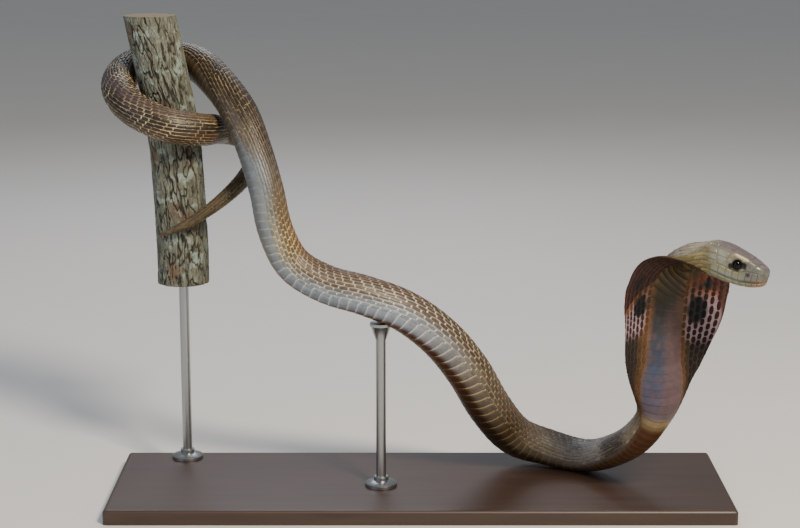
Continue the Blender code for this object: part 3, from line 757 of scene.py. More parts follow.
def hood_back(s, g):
    """Dark brown, with the pale spectacle mark that other cobras lack."""
    across = np.abs(g) * HOOD_ARC
    ridge = 1.0 - ease(3.0, 13.0, across)
    early = 1.0 - ease(70.0, 100.0, s)
    scale = mix(linear("#32160d"), linear("#2f2118"), ease(100.0, 150.0, s))
    # The pale middle near the head is partly a painted highlight along the neck's ridge.
    scale = mix(scale, mix(linear("#423224"), linear("#79715d"), early), ridge)
    skin = mix(1.1 * scale, linear("#654530"), 0.35)
    apart = np.hypot(s - SPECTACLE_AT[0], across - SPECTACLE_AT[1])
    drop = BRIDGE_DROP * np.sqrt(np.clip(1.0 - (across / SPECTACLE_AT[1])**2, 0.0, 1.0))
    below = SPECTACLE_AT[0] + 0.35 * SPECTACLE_RADIUS + drop
    bridge = inside(s - below, 3.0, 1.0) * (1.0 - ease(18.0, 20.0, across))
    dark_bridge = inside(s - below, 6.0, 1.2) * (1.0 - ease(19.0, 22.0, across))
    ring = inside(apart - SPECTACLE_RADIUS, 2.8, 0.9)
    dark = np.maximum(1.0 - ease(SPECTACLE_RADIUS + 4.0, SPECTACLE_RADIUS + 6.5, apart), dark_bridge)
    pale = np.maximum(ring, bridge)
    scale, skin = tint_both((scale, skin), ("#140d09", "#1c130d"), dark)
    scale, skin = tint_both((scale, skin), ("#c9b283", "#b79c6e"), pale)
    return scale, mix(scale, skin, 0.35), skin


# %% Paint for scales and scutes
HOOD_SPAN = (58.0, 70.0, 186.0, 214.0)
HOOD_SLANT, HOOD_MEETS = 30.0, 0.3      # the hood's brown begins nearer the head on the sides
FLANK_FROM, FLANK_TO = 0.5, 0.78
# Where a dark mark lies on the forebody, its reach, how low, its two tones and its strength
FOREBODY_MARKS = ((260.0, (17.0, 7.0), (0.3, 0.6), ("#332b26", "#40362f"), 0.75),
                  (318.0, (9.0, 6.0), (0.2, 0.5), ("#4a4038", "#5c5146"), 0.5))
LINE_FADE = (0.06, 0.3)      # the middle of the back has weaker outlines, hidden under its painted sheen
COIL_ROLL, ROLLED = 0.36, (905.0, 960.0, 1045.0, 1090.0)    # the middle of the back, with its painted sheen, lies further round on the front of the coil


def from_ridge(s, g):
    """Way round from the middle of the back and its painted sheen, which lies further round in the front of
    the coil.
    """
    return g - COIL_ROLL * plateau(*ROLLED, s)


def outlines_at(s, g):
    """How clearly the sides and the tips of scales show: patchy, and weak on the middle of the back, under
    its painted sheen.
    """
    sides, tips = columns_at(OUTLINES, s)
    fade = 0.3 + 0.7 * ease(*LINE_FADE, np.abs(from_ridge(s, g)))
    patchy = ease(-0.35, 0.25, mottle(s, g, 17.0, 3.0))
    bands = ease(-0.1, 0.35, mottle(s, 0.3 * np.asarray(g), 9.0, 8.0))
    smooth = ease(700.0, 745.0, s)
    side_lines = sides * (1.0 - smooth + smooth * (0.25 + 0.75 * patchy))
    tip_lines = tips * (1.0 - smooth + smooth * bands)
    return fade * side_lines, fade * tip_lines


def paint_scales(s, g):
    """Middle, border and skin tones at many places of the back and the flanks."""
    way = np.abs(from_ridge(s, g))
    back, side, flank, border = tones_at(SCALE_TONES, s)
    middle = mix(mix(back, side, ease(0.08, 0.4, way)), flank, ease(FLANK_FROM, FLANK_TO, way))
    side_lines, tip_lines = outlines_at(s, g)
    skin = mix(middle, border, 0.12 + 0.45 * np.maximum(side_lines, 0.7 * tip_lines))
    for at, reach, low_on_side, tones, strength in FOREBODY_MARKS:
        mark = strength * (inside(s - at, *reach) * ease(*low_on_side, way))
        middle, border = tint_both((middle, border), tones, mark)
    rings = ease(1080.0, 1120.0, s) * (0.5 + 0.5 * np.sin(s / 2.6))
    middle = tint(middle, "#30261a", 0.45 * rings)
    way = np.abs(g)
    hood = ease(*HOOD_SPAN[:2], s + HOOD_SLANT * (way - HOOD_MEETS)) * (1.0 - ease(*HOOD_SPAN[2:], s))
    front = ease(RIM_AT - 0.02, RIM_AT + 0.02, way)
    sides = [mix(one, two, front) for one, two in zip(hood_back(s, g), hood_front(s, g))]
    return [mix(one, two, hood) for one, two in zip((middle, border, skin), sides)]


BELLY_FROM = (1.02, 1.3)     # the ways round where the ends of a scute take the tone of its middle
SHEEN_SIDE = (1.65, 2.25)    # a painted sheen turns the hood's scutes from blue-grey to a warm pink across the belly


def paint_scutes(s, g):
    """Middle, border and skin tones at many places of the belly, where the way round is 1 to 2."""
    middle, ends, border = tones_at(SCUTE_TONES, s)
    round_g = np.mod(g, 4.0)
    way = np.minimum(round_g, 4.0 - round_g)
    left = round_g > 2.0
    waist = left * plateau(92.0, 106.0, 126.0, 148.0, s)
    tone = mix(ends, middle, ease(BELLY_FROM[0] + 0.2 * waist, BELLY_FROM[1] + 0.35 * waist, way))
    on_hood = plateau(108.0, 125.0, 196.0, 206.0, s)
    # Painted sheen: warm pink across one side of the hood's scutes, with warm patches at random.
    warm = on_hood * np.maximum(ease(*SHEEN_SIDE, round_g), 0.5 * ease(0.0, 0.3, mottle(s, g, 8.0, 5.0)))
    tone, border = tint(tone, "#5c4644", 0.75 * warm), tint(border, "#664a42", 0.6 * warm)
    border = mix(border, tone, 0.55 * on_hood)
    belly_band = plateau(300.0, 380.0, 680.0, 720.0, s) * ease(1.08, 1.4, way)
    border = mix(border, 1.15 * tone, 0.85 * belly_band)
    return [tone, border, mix(tone, border, 0.15)]


print("markings ready")

# %% [markdown]
# ## The skin
# The skin is a grid from the snout to the tail tip, rolled into a tube and sewn along the back. A
# grid gives even quads, which shade smoothly, and merging its doubles closes the seam and both ends.
# It replaces every length of the solid body, so no joint between the lengths shows.

# %% Skin mesh
FLESH = ("head", "hood", "forebody", "body_rise", "body_bridge", "body_climb", "coil_back",
         "coil_front", "tail_base", "tail_tip")
SEAM_GAP = 1e-7
BAKE_MAP = "OFBake"


def bake_place(s, g):
    """Where a place of the body lies on the skin's unwrap: way round by distance along."""
    step = np.interp(np.mod(g, 4.0), (0.0, 1.0, 2.0, 3.0, 4.0), (0, EDGE, HALF, 2 * HALF - EDGE, 2 * HALF))
    return np.stack((0.02 + 0.96 * step / (2 * HALF),
                     0.01 + 0.98 * ring_number(s) / (len(STATIONS) - 1)), axis=-1)


def make_skin_mesh():
    around, along = 2 * HALF, len(STATIONS) - 1
    bm = bmesh.new()
    bmesh.ops.create_grid(bm, x_segments=around, y_segments=along, size=1.0)
    place = bm.verts.layers.float_vector.new("place")
    bake = bm.loops.layers.uv.new(BAKE_MAP)
    ways = [np.concatenate((way_round(ring[:HALF + 1]), 4.0 - way_round(ring[:HALF - 1:-1])[-2::-1]))
            for ring in RINGS]
    cells = {}
    for vert in bm.verts:
        column = round((vert.co.x + 1.0) / 2.0 * around)
        row = round((vert.co.y + 1.0) / 2.0 * along)
        cells[vert.index] = (row, column)
        vert[place] = (STATIONS[row], ways[row][column], column)
    for face in bm.faces:
        for loop in face.loops:
            row, column = cells[loop.vert.index]
            loop[bake].uv = (0.02 + 0.96 * column / around, 0.01 + 0.98 * row / along)
    for vert in bm.verts:
        row, column = cells[vert.index]
        vert.co = RINGS[row, column] * MM
    bmesh.ops.remove_doubles(bm, verts=bm.verts, dist=SEAM_GAP)
    bmesh.ops.recalc_face_normals(bm, faces=bm.faces)
    mesh = mesh_of("skin", bm)
    mesh.shade_smooth()
    return mesh


def read_places(mesh):
    values = np.empty(3 * len(mesh.vertices))
    mesh.attributes["place"].data.foreach_get("vector", values)
    return values.reshape(-1, 3)


def give_tones(mesh, tones):
    layer = mesh.color_attributes.new("tone", "FLOAT_COLOR", "POINT")
    layer.data.foreach_set("color", np.concatenate((tones, np.ones((len(tones), 1))), axis=1).ravel())


skin_mesh = make_skin_mesh()
print("skin:", len(skin_mesh.polygons), "faces")

# %% Tones of the skin
def fold(g):
    """The same way round, counted from -2 to 2."""
    return np.mod(g + 2.0, 4.0) - 2.0


def paint_skin(s, g):
    s, g = np.asarray(s, float), fold(np.asarray(g, float))
    scale_skin = paint_scales(s, g)[2]
    scute_skin = paint_scutes(s, g)[2]
    return mix(scale_skin, scute_skin, ease(0.97, 1.03, np.abs(g)))


def keep(piece, nodes):
    """Puts a finished piece on the model in the place of its solids."""
    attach(piece, BODY)
    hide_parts(*nodes)
    return piece


# %% Skin and keratin materials
def hide_material(name, patches, uneven, roughness, gloss, bump_scale, bump_depth):
    """Tones come from the mesh. Fine noise breaks them up, as dust and wear do on a real animal."""
    material, tree = new_material(name)
    tone = add(tree, "ShaderNodeVertexColor", {"layer_name": "tone"})
    coords = add(tree, "ShaderNodeTexCoord")
    cloud = add(tree, "ShaderNodeTexNoise",
                inputs={"Vector": coords.outputs["Object"], "Scale": patches, "Detail": 5.0})
    shade = add(tree, "ShaderNodeMapRange",
                inputs={"Value": cloud.outputs["Fac"], 1: 0.3, 2: 0.7, 3: 1.0 - uneven, 4: 1.0 + uneven})
    colour = add(tree, "ShaderNodeVectorMath", {"operation": "SCALE"},
                 {0: tone.outputs["Color"], "Scale": shade.outputs[0]})
    polish = add(tree, "ShaderNodeMapRange",
                 inputs={"Value": cloud.outputs["Fac"], 1: 0.3, 2: 0.7, 3: roughness[0], 4: roughness[1]})
    grain = add(tree, "ShaderNodeTexNoise",
                inputs={"Vector": coords.outputs["Object"], "Scale": bump_scale, "Detail": 3.0})
    bump = add(tree, "ShaderNodeBump",
               inputs={"Height": grain.outputs["Fac"], "Strength": 0.5, "Distance": bump_depth})
    finish_material(tree, Base_Color=colour.outputs[0], Roughness=polish.outputs[0],
                    Specular_IOR_Level=gloss, Normal=bump.outputs[0])
    return material


places = read_places(skin_mesh)
give_tones(skin_mesh, paint_skin(places[:, 0], places[:, 1]))
soft_skin = hide_material("soft_skin_between_scales", patches=160.0, uneven=0.2, roughness=(0.5, 0.7),
                          gloss=0.4, bump_scale=2600.0, bump_depth=0.00008)
keep(show("skin", skin_mesh, soft_skin), FLESH)
print("skin painted")

# %% [markdown]
# ## Thousands of scales from one template
# One scale is a small patch: a rounded tongue, a little domed, with its edges tucked into the skin.
# The body is divided into rungs, one for each belly scute. Every row of scales has one scale on each
# rung, shifted a little against its neighbour, which gives the slanting lines of a real snake.
# Arrays lay all the copies, and the copies are joined in one mesh for each length of the body.

# %% Templates
def template_grid(across, along):
    """Places u and v on a patch, from -1 to 1 and from 0 to 1, and its quads with the face up."""
    bm = bmesh.new()
    bmesh.ops.create_grid(bm, x_segments=len(across) - 1, y_segments=len(along) - 1, size=1.0)
    spots = np.array([vert.co[:2] for vert in bm.verts])
    quads = np.array([[vert.index for vert in face.verts][::-1] for face in bm.faces])
    bm.free()
    u = np.interp(spots[:, 0], np.linspace(-1.0, 1.0, len(across)), across)
    v = np.interp(spots[:, 1], np.linspace(-1.0, 1.0, len(along)), along)
    return u, v, quads


def scale_template(blunt, rise):
    """A tongue: narrow root, widest before the middle, blunt tip."""
    u, v, quads = template_grid((-1.0, -0.9, -0.7, 0.0, 0.7, 0.9, 1.0), (0.0, 0.22, 0.5, 0.84, 0.94, 1.0))
    waist = 0.62 + 0.38 * ease(0.0, 0.35, v)
    tip = np.sqrt(np.clip(1.0 - np.clip((v - 0.4) / 0.6, 0.0, 1.0)**2.4, 0.0, 1.0))
    width = waist * (blunt + (1.0 - blunt) * tip)
    height = -0.15 + rise * v**0.8 + 0.28 * (1.0 - u**2)
    height = np.where(np.abs(u) > 0.99, -0.25, height)
    height = np.where(v > 0.99, 0.1, height)
    sides = np.interp(np.abs(u), (0.7, 0.9, 1.0), (0.0, 0.45, 1.0))
    tips = np.interp(v, (0.84, 0.94, 1.0), (0.0, 0.6, 1.0))
    return {"side": u * width, "forward": v, "height": height, "sides": sides, "tips": tips,
            "quads": quads}


def tiled_mesh(name, quads, points, tones, patches):
    """One mesh of many copies: points, tones and bake patches by copy and corner."""
    count, corners = points.shape[:2]
    faces = (quads[None] + corners * np.arange(count)[:, None, None]).reshape(-1, 4)
    mesh = bpy.data.meshes.new(name)
    mesh.vertices.add(count * corners)
    mesh.vertices.foreach_set("co", (points * MM).ravel())
    mesh.loops.add(faces.size)
    mesh.loops.foreach_set("vertex_index", faces.ravel())
    mesh.polygons.add(len(faces))
    mesh.polygons.foreach_set("loop_start", np.arange(0, faces.size, 4))
    mesh.update(calc_edges=True)
    mesh.validate()
    bake = mesh.uv_layers.new(name=BAKE_MAP)
    bake.data.foreach_set("uv", patches.reshape(-1, 2)[faces.ravel()].ravel())
    give_tones(mesh, tones.reshape(-1, 3))
    mesh.shade_smooth()
    return mesh


PATCH = 0.0015              # half the width of a copy's patch on the unwrap


def bake_patches(template, s0, g0):
    """Each copy has its own small patch of the unwrap, at the place of its root."""
    root = bake_place(s0, g0)[:, None]
    span = np.stack((template["side"], 2.0 * template["forward"] - 1.0), axis=-1)
    return root + PATCH * span / np.abs(span).max()


print("templates ready")

# %% Rungs, and rows of scales on them
# Behind the snout: the distance from one rung to the next
PITCHES = ((40.0, 5.4), (60.0, 6.2), (200.0, 6.2), (300.0, 6.6), (390.0, 7.8), (530.0, 8.0),
           (600.0, 7.2), (680.0, 6.2), (760.0, 6.4), (960.0, 5.8), (1080.0, 5.2), (1180.0, 3.6),
           (1269.0, 2.6))
FIRST_RUNG = 34.0
# From and to behind the snout, rows from flank to flank, and the shift from row to row on the back
SCALE_ROWS = ((40.0, 48.0, 23, 0.5), (48.0, 207.0, 33, 0.5), (207.0, 952.0, 23, 0.25),
              (952.0, 1072.0, 19, 0.25), (1072.0, 1182.0, 13, 0.4), (1182.0, 1262.0, 9, 0.5))
RIDGE_ROWS = 5              # rows on each side of the middle that shift by less than half a scale
HOOD_SCALES = (50.0, 72.0, 160.0, 200.0)     # where the scales of the hood stand apart
OVERLAP, HOOD_OVERLAP = 1.3, 0.91
SCALE_WIDTH, HOOD_SCALE_WIDTH = 2.3, 1.85    # widest half widths
SCALE_RISE = 0.42
JITTER, SHADE_JITTER = 0.05, 0.16
LINE_THIN = 1.7             # weak outlines are thinner than strong ones
UNDER_SCUTES = 0.06         # how far the rows of scales run on under the ends of the scutes
# Behind the snout: how far up the flank a scute reaches, in ways round from the middle of the belly
SCUTE_REACH = ((58.0, 1.03), (200.0, 1.03), (300.0, 1.10), (370.0, 1.2), (440.0, 1.26), (640.0, 1.26),
               (700.0, 1.2), (760.0, 1.08), (1066.0, 1.05))
random = np.random.default_rng(11)
BACK_LENGTHS = np.linalg.norm(np.diff(RINGS[:, :EDGE + 1], axis=1), axis=2).sum(axis=1)


def lay_rungs():
    rungs = [FIRST_RUNG]
    while rungs[-1] < LENGTH:
        rungs.append(rungs[-1] + float(columns_at(PITCHES, rungs[-1])[0]))
    return np.array(rungs)


RUNGS = lay_rungs()


def rung_place(number):
    return np.interp(number, np.arange(len(RUNGS)), RUNGS)


def rung_at(s):
    return np.interp(s, RUNGS, np.arange(len(RUNGS)))


def back_length(s):
    """Length over the hide from the middle of the back to where the scutes begin."""
    return BACK_LENGTHS[np.clip(np.rint(ring_number(s)).astype(int), 0, len(STATIONS) - 1)]


def scute_reach(s):
    return columns_at(SCUTE_REACH, s)[0]


def hood_share(s):
    return plateau(*HOOD_SCALES, s)


def scale_places():
    """Roots of all scales: the rung, the way round, and half the gap between the rows."""
    found = []
    for start, end, rows, shift in SCALE_ROWS:
        for k in range(rows):
            from_ridge = abs(k - (rows - 1) / 2.0)
            behind = shift * min(from_ridge, RIDGE_ROWS) + 0.5 * max(from_ridge - RIDGE_ROWS, 0.0)
            lane = 2.0 * (k - (rows - 1) / 2.0) / rows
            first = math.ceil(float(rung_at(start)) - 0.5 + behind) - behind
            for rung in np.arange(first, float(rung_at(end)), 1.0):
                if abs(lane) < 2.0 - scute_reach(rung_place(rung)) + UNDER_SCUTES:
                    found.append((rung, lane, 1.0 / rows))
    return np.array(found)


SCALES = scale_places()
print(len(SCALES), "scales on", len(RUNGS), "rungs")


def make_scales():
    template = scale_template(0.2, SCALE_RISE)
    rung, g0, gap = SCALES.T
    s0 = rung_place(rung)
    hood = hood_share(s0)
    size = 1.0 + JITTER * random.uniform(-1.0, 1.0, len(s0))
    length = (rung_place(rung + 1.0) - s0) * (OVERLAP + (HOOD_OVERLAP - OVERLAP) * hood) * size
    around = back_length(s0)
    widest = SCALE_WIDTH + (HOOD_SCALE_WIDTH - SCALE_WIDTH) * hood
    half_width = np.minimum(1.1 * gap * around, widest) * size
    turn = 0.05 * random.uniform(-1.0, 1.0, len(s0))
    s = s0[:, None] + length[:, None] * template["forward"]
    g = g0[:, None] + (half_width / around)[:, None] * template["side"] \
        + (turn * length / around)[:, None] * template["forward"]
    lift = np.clip(half_width / 1.6, 0.45, 1.2)
    points = on_hide(s, g, template["height"] * lift[:, None])
    middle, border, _ = paint_scales(s0 + 0.5 * length, g0)
    uneven = SHADE_JITTER * (1.0 + 1.4 * ease(1070.0, 1100.0, s0))
    shade = 1.0 + uneven[:, None] * random.uniform(-1.0, 1.0, (len(s0), 1))
    side_lines, tip_lines = outlines_at(s0, g0)
    share = side_lines[:, None] * template["sides"]**(LINE_THIN - side_lines[:, None]) \
        + tip_lines[:, None] * template["tips"]**(LINE_THIN - tip_lines[:, None])
    share = np.clip(share, 0.0, 1.0)[..., None]
    tones = (middle * shade)[:, None] * (1.0 - share) + border[:, None] * share
    return template, points, np.clip(tones, 0.0, 1.0), bake_patches(template, s0, g0)


keratin = hide_material("satin_keratin_scales", patches=420.0, uneven=0.2, roughness=(0.3, 0.48),
                        gloss=0.42, bump_scale=3200.0, bump_depth=0.00004)
dull_keratin = hide_material("dull_keratin_of_hood", patches=420.0, uneven=0.16, roughness=(0.42, 0.6),
                             gloss=0.22, bump_scale=3200.0, bump_depth=0.00004)
COAT_SPLITS = (0.0, 215.0, 480.0, 760.0, 2000.0)
COAT_NODES = (("head", "hood"), ("forebody", "body_rise"), ("body_bridge", "body_climb"),
              ("coil_back", "coil_front", "tail_base", "tail_tip"))
template, points, tones, patches = make_scales()
scale_at = rung_place(SCALES[:, 0])
for k, nodes in enumerate(COAT_NODES):
    part = (scale_at >= COAT_SPLITS[k]) & (scale_at < COAT_SPLITS[k + 1])
    mesh = tiled_mesh(f"scales_{k + 1}", template["quads"], points[part], tones[part], patches[part])
    keep(show(f"scales_{k + 1}", mesh, keratin if k else dull_keratin), nodes)
    print(f"scales_{k + 1}:", len(mesh.polygons), "quads")

# %% [markdown]
# ## Scutes of the belly
# Under a snake one broad scute lies behind the other, each from flank to flank, with its free edge
# towards the tail. They sit on the same rungs as the scales, and on the middle of the body their
# ends reach up the flanks. Under the tail they are in pairs, as in all true cobras, and small scales
# cover the throat in front of them.

# %% Belly scutes
SCUTES_FROM, VENT = 58.0, 1066.0
SCUTE_BOW = 1.5
THROAT_SLANT, SLANT_OVER = 14.0, (46.0, 80.0, 84.0, 124.0)
SCUTE_OVERLAP = 1.14
PAIR_WAY, PAIR_REACH = 0.52, 0.52
THROAT_FROM, THROAT_PITCH, THROAT_LANES = 24.0, 4.3, 7


def scute_template(segments):
    across = np.sin(np.linspace(-0.5, 0.5, segments + 1) * math.pi)
    across = 0.5 * across + 0.5 * np.linspace(-1.0, 1.0, segments + 1)
    u, v, quads = template_grid(across, (0.0, 0.3, 0.6, 0.85, 0.95, 1.0))
    height = 0.06 + 0.32 * v**0.9
    height = np.where(v > 0.97, 0.12, height)
    height = height * (1.0 - 0.4 * np.abs(u)**6)
    height = np.where(np.abs(u) > 0.99, -0.25, height)
    tips = ease(0.8, 0.98, v)
    return {"side": u, "forward": v, "height": height, "tips": tips, "quads": quads}


def make_scutes(name, template, s0, g0, reach, bow, pitch):
    length = SCUTE_OVERLAP * pitch
    arch = bow * (1.0 - template["side"]**2) * (0.4 + 0.6 * template["forward"])
    g = g0[:, None] + reach[:, None] * template["side"]
    slant = THROAT_SLANT * plateau(*SLANT_OVER, s0)[:, None] * (g - 2.0)
    s = s0[:, None] + length[:, None] * template["forward"] + arch + slant
    points = on_hide(s, g, np.broadcast_to(template["height"], s.shape))
    middle, border, _ = paint_scutes(s, g)
    shade = 1.0 + 0.5 * SHADE_JITTER * random.uniform(-1.0, 1.0, (len(s0), 1, 1))
    throat = (1.0 - ease(92.0, 112.0, s0))[:, None, None]
    tips, bars = template["tips"][None, :, None], ease(0.3, 0.75, template["forward"])[None, :, None]
    share = tips + (bars - tips) * throat
    tones = np.clip(middle * shade * (1.0 - share) + border * share, 0.0, 1.0)
    return tiled_mesh(name, template["quads"], points, tones, bake_patches(template, s0, g0))


polished = hide_material("polished_keratin_scutes", patches=300.0, uneven=0.14, roughness=(0.36, 0.5),
                         gloss=0.24, bump_scale=2600.0, bump_depth=0.00004)
scute_at = RUNGS[(RUNGS >= SCUTES_FROM) & (RUNGS < VENT)]
scute_mesh = make_scutes("belly_scutes", scute_template(22), scute_at, np.full(len(scute_at), 2.0),
                         scute_reach(scute_at), SCUTE_BOW, rung_place(rung_at(scute_at) + 1.0) - scute_at)
keep(show("belly_scutes", scute_mesh, polished), FLESH[:-1])

pair_at = np.repeat(RUNGS[(RUNGS >= VENT) & (RUNGS < LENGTH - 8.0)], 2)
pair_way = np.tile((2.0 - PAIR_WAY, 2.0 + PAIR_WAY), len(pair_at) // 2)
pair_mesh = make_scutes("tail_scutes", scute_template(8), pair_at, pair_way,
                        np.full(len(pair_at), PAIR_REACH), 0.5, rung_place(rung_at(pair_at) + 1.0) - pair_at)
keep(show("tail_scutes", pair_mesh, polished), FLESH[-2:])

throat = [(s + 0.5 * THROAT_PITCH * (lane % 2), 2.0 + lane * 1.9 / (2 * THROAT_LANES + 1))
          for lane in range(-THROAT_LANES, THROAT_LANES + 1)
          for s in np.arange(THROAT_FROM, SCUTES_FROM, THROAT_PITCH)]
throat_at, throat_way = np.array(throat).T
throat_mesh = make_scutes("throat_scales", scute_template(4), throat_at, throat_way,
                          np.full(len(throat), 0.06), 0.6, np.full(len(throat), THROAT_PITCH))
keep(show("throat_scales", throat_mesh, polished), FLESH[:2])
print(len(scute_at), "belly scutes,", len(pair_at), "under the tail and", len(throat), "throat scales")

# %% [markdown]
# ## Shields of the head
# A cobra's head wears large smooth shields in a fixed order. Each one is a low pillow with rounded
# corners, set between four corners on the head. A place on the head is its distance behind the snout
# and its share of the way round: over the crown from 0 in the middle to 1 at the upper lip, and under
# the chin from 0 in the middle to 1 at the lower lip.

# %% Places on the head
HEAD_RINGS = int(np.searchsorted(STATIONS, 64.0))    # rings of the head and the neck's start
HEAD_SAMPLES = 60           # steps from the middle to a lip


def even_part(grid, first, last):
    """Values at even steps of length from one step of the ring to another."""
    rows = []
    for ring, row in zip(RINGS[:HEAD_RINGS], grid[:HEAD_RINGS]):
        stretch = ring[first:last + 1]
        arc = lengths_along(stretch)
        share = np.linspace(0.0, 1.0, HEAD_SAMPLES + 1)
        rows.append(np.stack([np.interp(share, arc / max(arc[-1], 1e-6), row[first:last + 1, k])
                              for k in range(3)], axis=1))
    return np.array(rows)


CROWN_RIGHT = [even_part(grid, 0, LIP) for grid in (RINGS, NORMALS)]
CROWN_LEFT = [even_part(grid, 2 * HALF - LIP, 2 * HALF) for grid in (RINGS, NORMALS)]
CHIN_RIGHT = [even_part(grid, LIP + 2, HALF) for grid in (RINGS, NORMALS)]
CHIN_LEFT = [even_part(grid, HALF, 2 * HALF - LIP - 2) for grid in (RINGS, NORMALS)]
# Each from -1 on the left lip, over 0 in the middle, to 1 on the right lip
CROWN = [np.concatenate((left[:, :-1], right), axis=1) for left, right in zip(CROWN_LEFT, CROWN_RIGHT)]
CHIN = [np.concatenate((left[:, :0:-1], right[:, ::-1]), axis=1)
        for left, right in zip(CHIN_LEFT, CHIN_RIGHT)]


def on_head(part, s, q, height):
    """Points on the crown or chin at a distance behind the snout and a share from -1 to 1."""
    row = ring_number(s)
    column = (np.clip(q, -1.0, 1.0) + 1.0) * HEAD_SAMPLES
    points, normals = [blend_cells(grid, row, column) for grid in part]
    return points + np.asarray(height)[..., None] * normals


# %% Places of the shields
# Four corners of each: front inner, front outer, rear outer, rear inner, as (behind snout, share)
CROWN_SHIELDS = {
    "internasal": ((1.4, 0.0), (1.6, 0.28), (6.4, 0.27), (6.0, 0.0)),
    "prefrontal": ((6.0, 0.0), (6.4, 0.27), (13.2, 0.37), (12.6, 0.0)),
    "supraocular": ((13.0, 0.12), (13.2, 0.37), (27.0, 0.43), (26.4, 0.09)),
    "parietal": ((26.4, 0.0), (27.0, 0.40), (38.0, 0.40), (41.5, 0.0)),
    "nasal_front": ((1.0, 0.29), (1.0, 0.66), (10.2, 0.66), (6.4, 0.28)),
    "nasal_rear": ((6.6, 0.28), (10.4, 0.66), (14.6, 0.69), (13.0, 0.38)),
    "preocular": ((13.2, 0.38), (14.8, 0.69), (18.0, 0.77), (18.6, 0.42)),
    "postocular_1": ((24.2, 0.44), (24.8, 0.54), (28.6, 0.54), (27.4, 0.43)),
    "postocular_2": ((25.0, 0.54), (24.6, 0.66), (28.8, 0.66), (28.6, 0.54)),
    "postocular_3": ((24.4, 0.66), (22.6, 0.78), (27.8, 0.78), (28.8, 0.66)),
    "temporal_1": ((28.2, 0.42), (28.8, 0.60), (36.6, 0.58), (37.4, 0.41)),
    "temporal_2": ((28.8, 0.60), (28.0, 0.78), (35.6, 0.77), (36.6, 0.58)),
    "temporal_3": ((37.6, 0.41), (36.8, 0.57), (43.5, 0.55), (44.0, 0.34)),
    "temporal_4": ((36.8, 0.58), (36.0, 0.73), (43.0, 0.71), (43.5, 0.55)),
    "temporal_5": ((36.0, 0.74), (35.6, 0.87), (42.6, 0.87), (43.0, 0.71)),
    "nape": ((42.0, 0.0), (38.5, 0.38), (45.0, 0.32), (47.0, 0.0)),
}
UPPER_LIP_CUTS = (1.2, 5.0, 9.0, 13.4, 18.4, 23.2, 28.4, 34.0, 40.0)
UPPER_LIP_TOPS = (0.67, 0.67, 0.67, 0.69, 0.79, 0.80, 0.79, 0.78, 0.87)
LOWER_LIP_CUTS = (1.4, 4.4, 8.2, 12.4, 17.2, 22.4, 28.0, 34.0, 40.0)
LOWER_LIP_DEEP = (0.58, 0.56, 0.55, 0.54, 0.56, 0.64, 0.70, 0.76, 0.80)
CHIN_SHIELDS = {
    "chin_front": ((4.6, 0.0), (4.8, 0.54), (14.2, 0.53), (14.6, 0.0)),
    "chin_rear": ((14.8, 0.0), (14.6, 0.52), (24.0, 0.55), (24.6, 0.0)),
}
LIP_EDGE = 0.985
SHIELD_GAP = 0.08
SHIELD_RISE = 0.3
CORNER = 0.10                # share of a side that a rounded corner takes
HEAD_GIRTH = 26.0            # about as long as the way over the crown from the middle to a lip


def shield_template():
    steps = np.array((0.0, 0.03, 0.1, 0.18, 0.28, 0.39, 0.5, 0.61, 0.72, 0.82, 0.9, 0.97, 1.0))
    u, v, quads = template_grid(2.0 * steps - 1.0, steps)
    v = 2.0 * v - 1.0
    round_u = u * (1.0 - CORNER * v**6 * np.abs(u)**5)
    round_v = v * (1.0 - CORNER * u**6 * np.abs(v)**5)
    edge = np.maximum(np.abs(u), np.abs(v))
    height = SHIELD_RISE * (1.0 - 0.35 * (u**2 + v**2) / 2.0)
    height = np.where(edge > 0.99, -0.2, height * (1.0 - 0.35 * ease(0.7, 0.95, edge)))
    return {"u": round_u, "v": round_v, "height": height, "tips": ease(0.7, 0.97, edge), "quads": quads}


def corners_to_places(corners, template, gap):
    """Behind the snout and share at each point, between four corners with a gap all round."""
    a, b, c, d = [np.array(corner) for corner in corners]
    along = max(0.5 * abs(d[0] - a[0] + c[0] - b[0]), 0.5)
    across = max(0.5 * abs(b[1] - a[1] + c[1] - d[1]) * HEAD_GIRTH, 0.5)
    u = (0.5 + 0.5 * template["u"] * (1.0 - 2.0 * gap / across))[:, None]
    v = (0.5 + 0.5 * template["v"] * (1.0 - 2.0 * gap / along))[:, None]
    spot = (1 - u) * (1 - v) * a + u * (1 - v) * b + u * v * c + (1 - u) * v * d
    return spot[:, 0], spot[:, 1]


def lip_row(cuts, tops, edge):
    return [((cuts[k], tops[k]), (cuts[k], edge), (cuts[k + 1], edge), (cuts[k + 1], tops[k + 1]))
            for k in range(len(cuts) - 1)]


def all_shields():
    """Every shield as (crown or chin, corners), with the left ones as mirror images."""
    one_side = [(CROWN, corners) for corners in CROWN_SHIELDS.values()]
    one_side += [(CROWN, corners) for corners in lip_row(UPPER_LIP_CUTS, UPPER_LIP_TOPS, LIP_EDGE)]
    one_side += [(CHIN, corners) for corners in lip_row(LOWER_LIP_CUTS, LOWER_LIP_DEEP, LIP_EDGE)]
    one_side += [(CHIN, corners) for corners in CHIN_SHIELDS.values()]
    other = [(part, [(s, -q) for s, q in corners]) for part, corners in one_side]
    middle = [
        (CROWN, ((12.8, -0.11), (12.8, 0.11), (26.2, 0.07), (26.2, -0.07))),
        (CROWN, ((-2.4, -0.8), (-2.4, 0.8), (1.1, 0.64), (1.1, -0.64))),
        (CHIN, ((-1.6, -0.9), (-1.6, 0.9), (4.4, 0.5), (4.4, -0.5))),
    ]
    return one_side + other + middle


# %% Paint for the head
BROW_HIGHLIGHT_LINE = 0.385            # share of the way round of the painted highlight along the brow
NOSTRIL_SHADE = 1.5


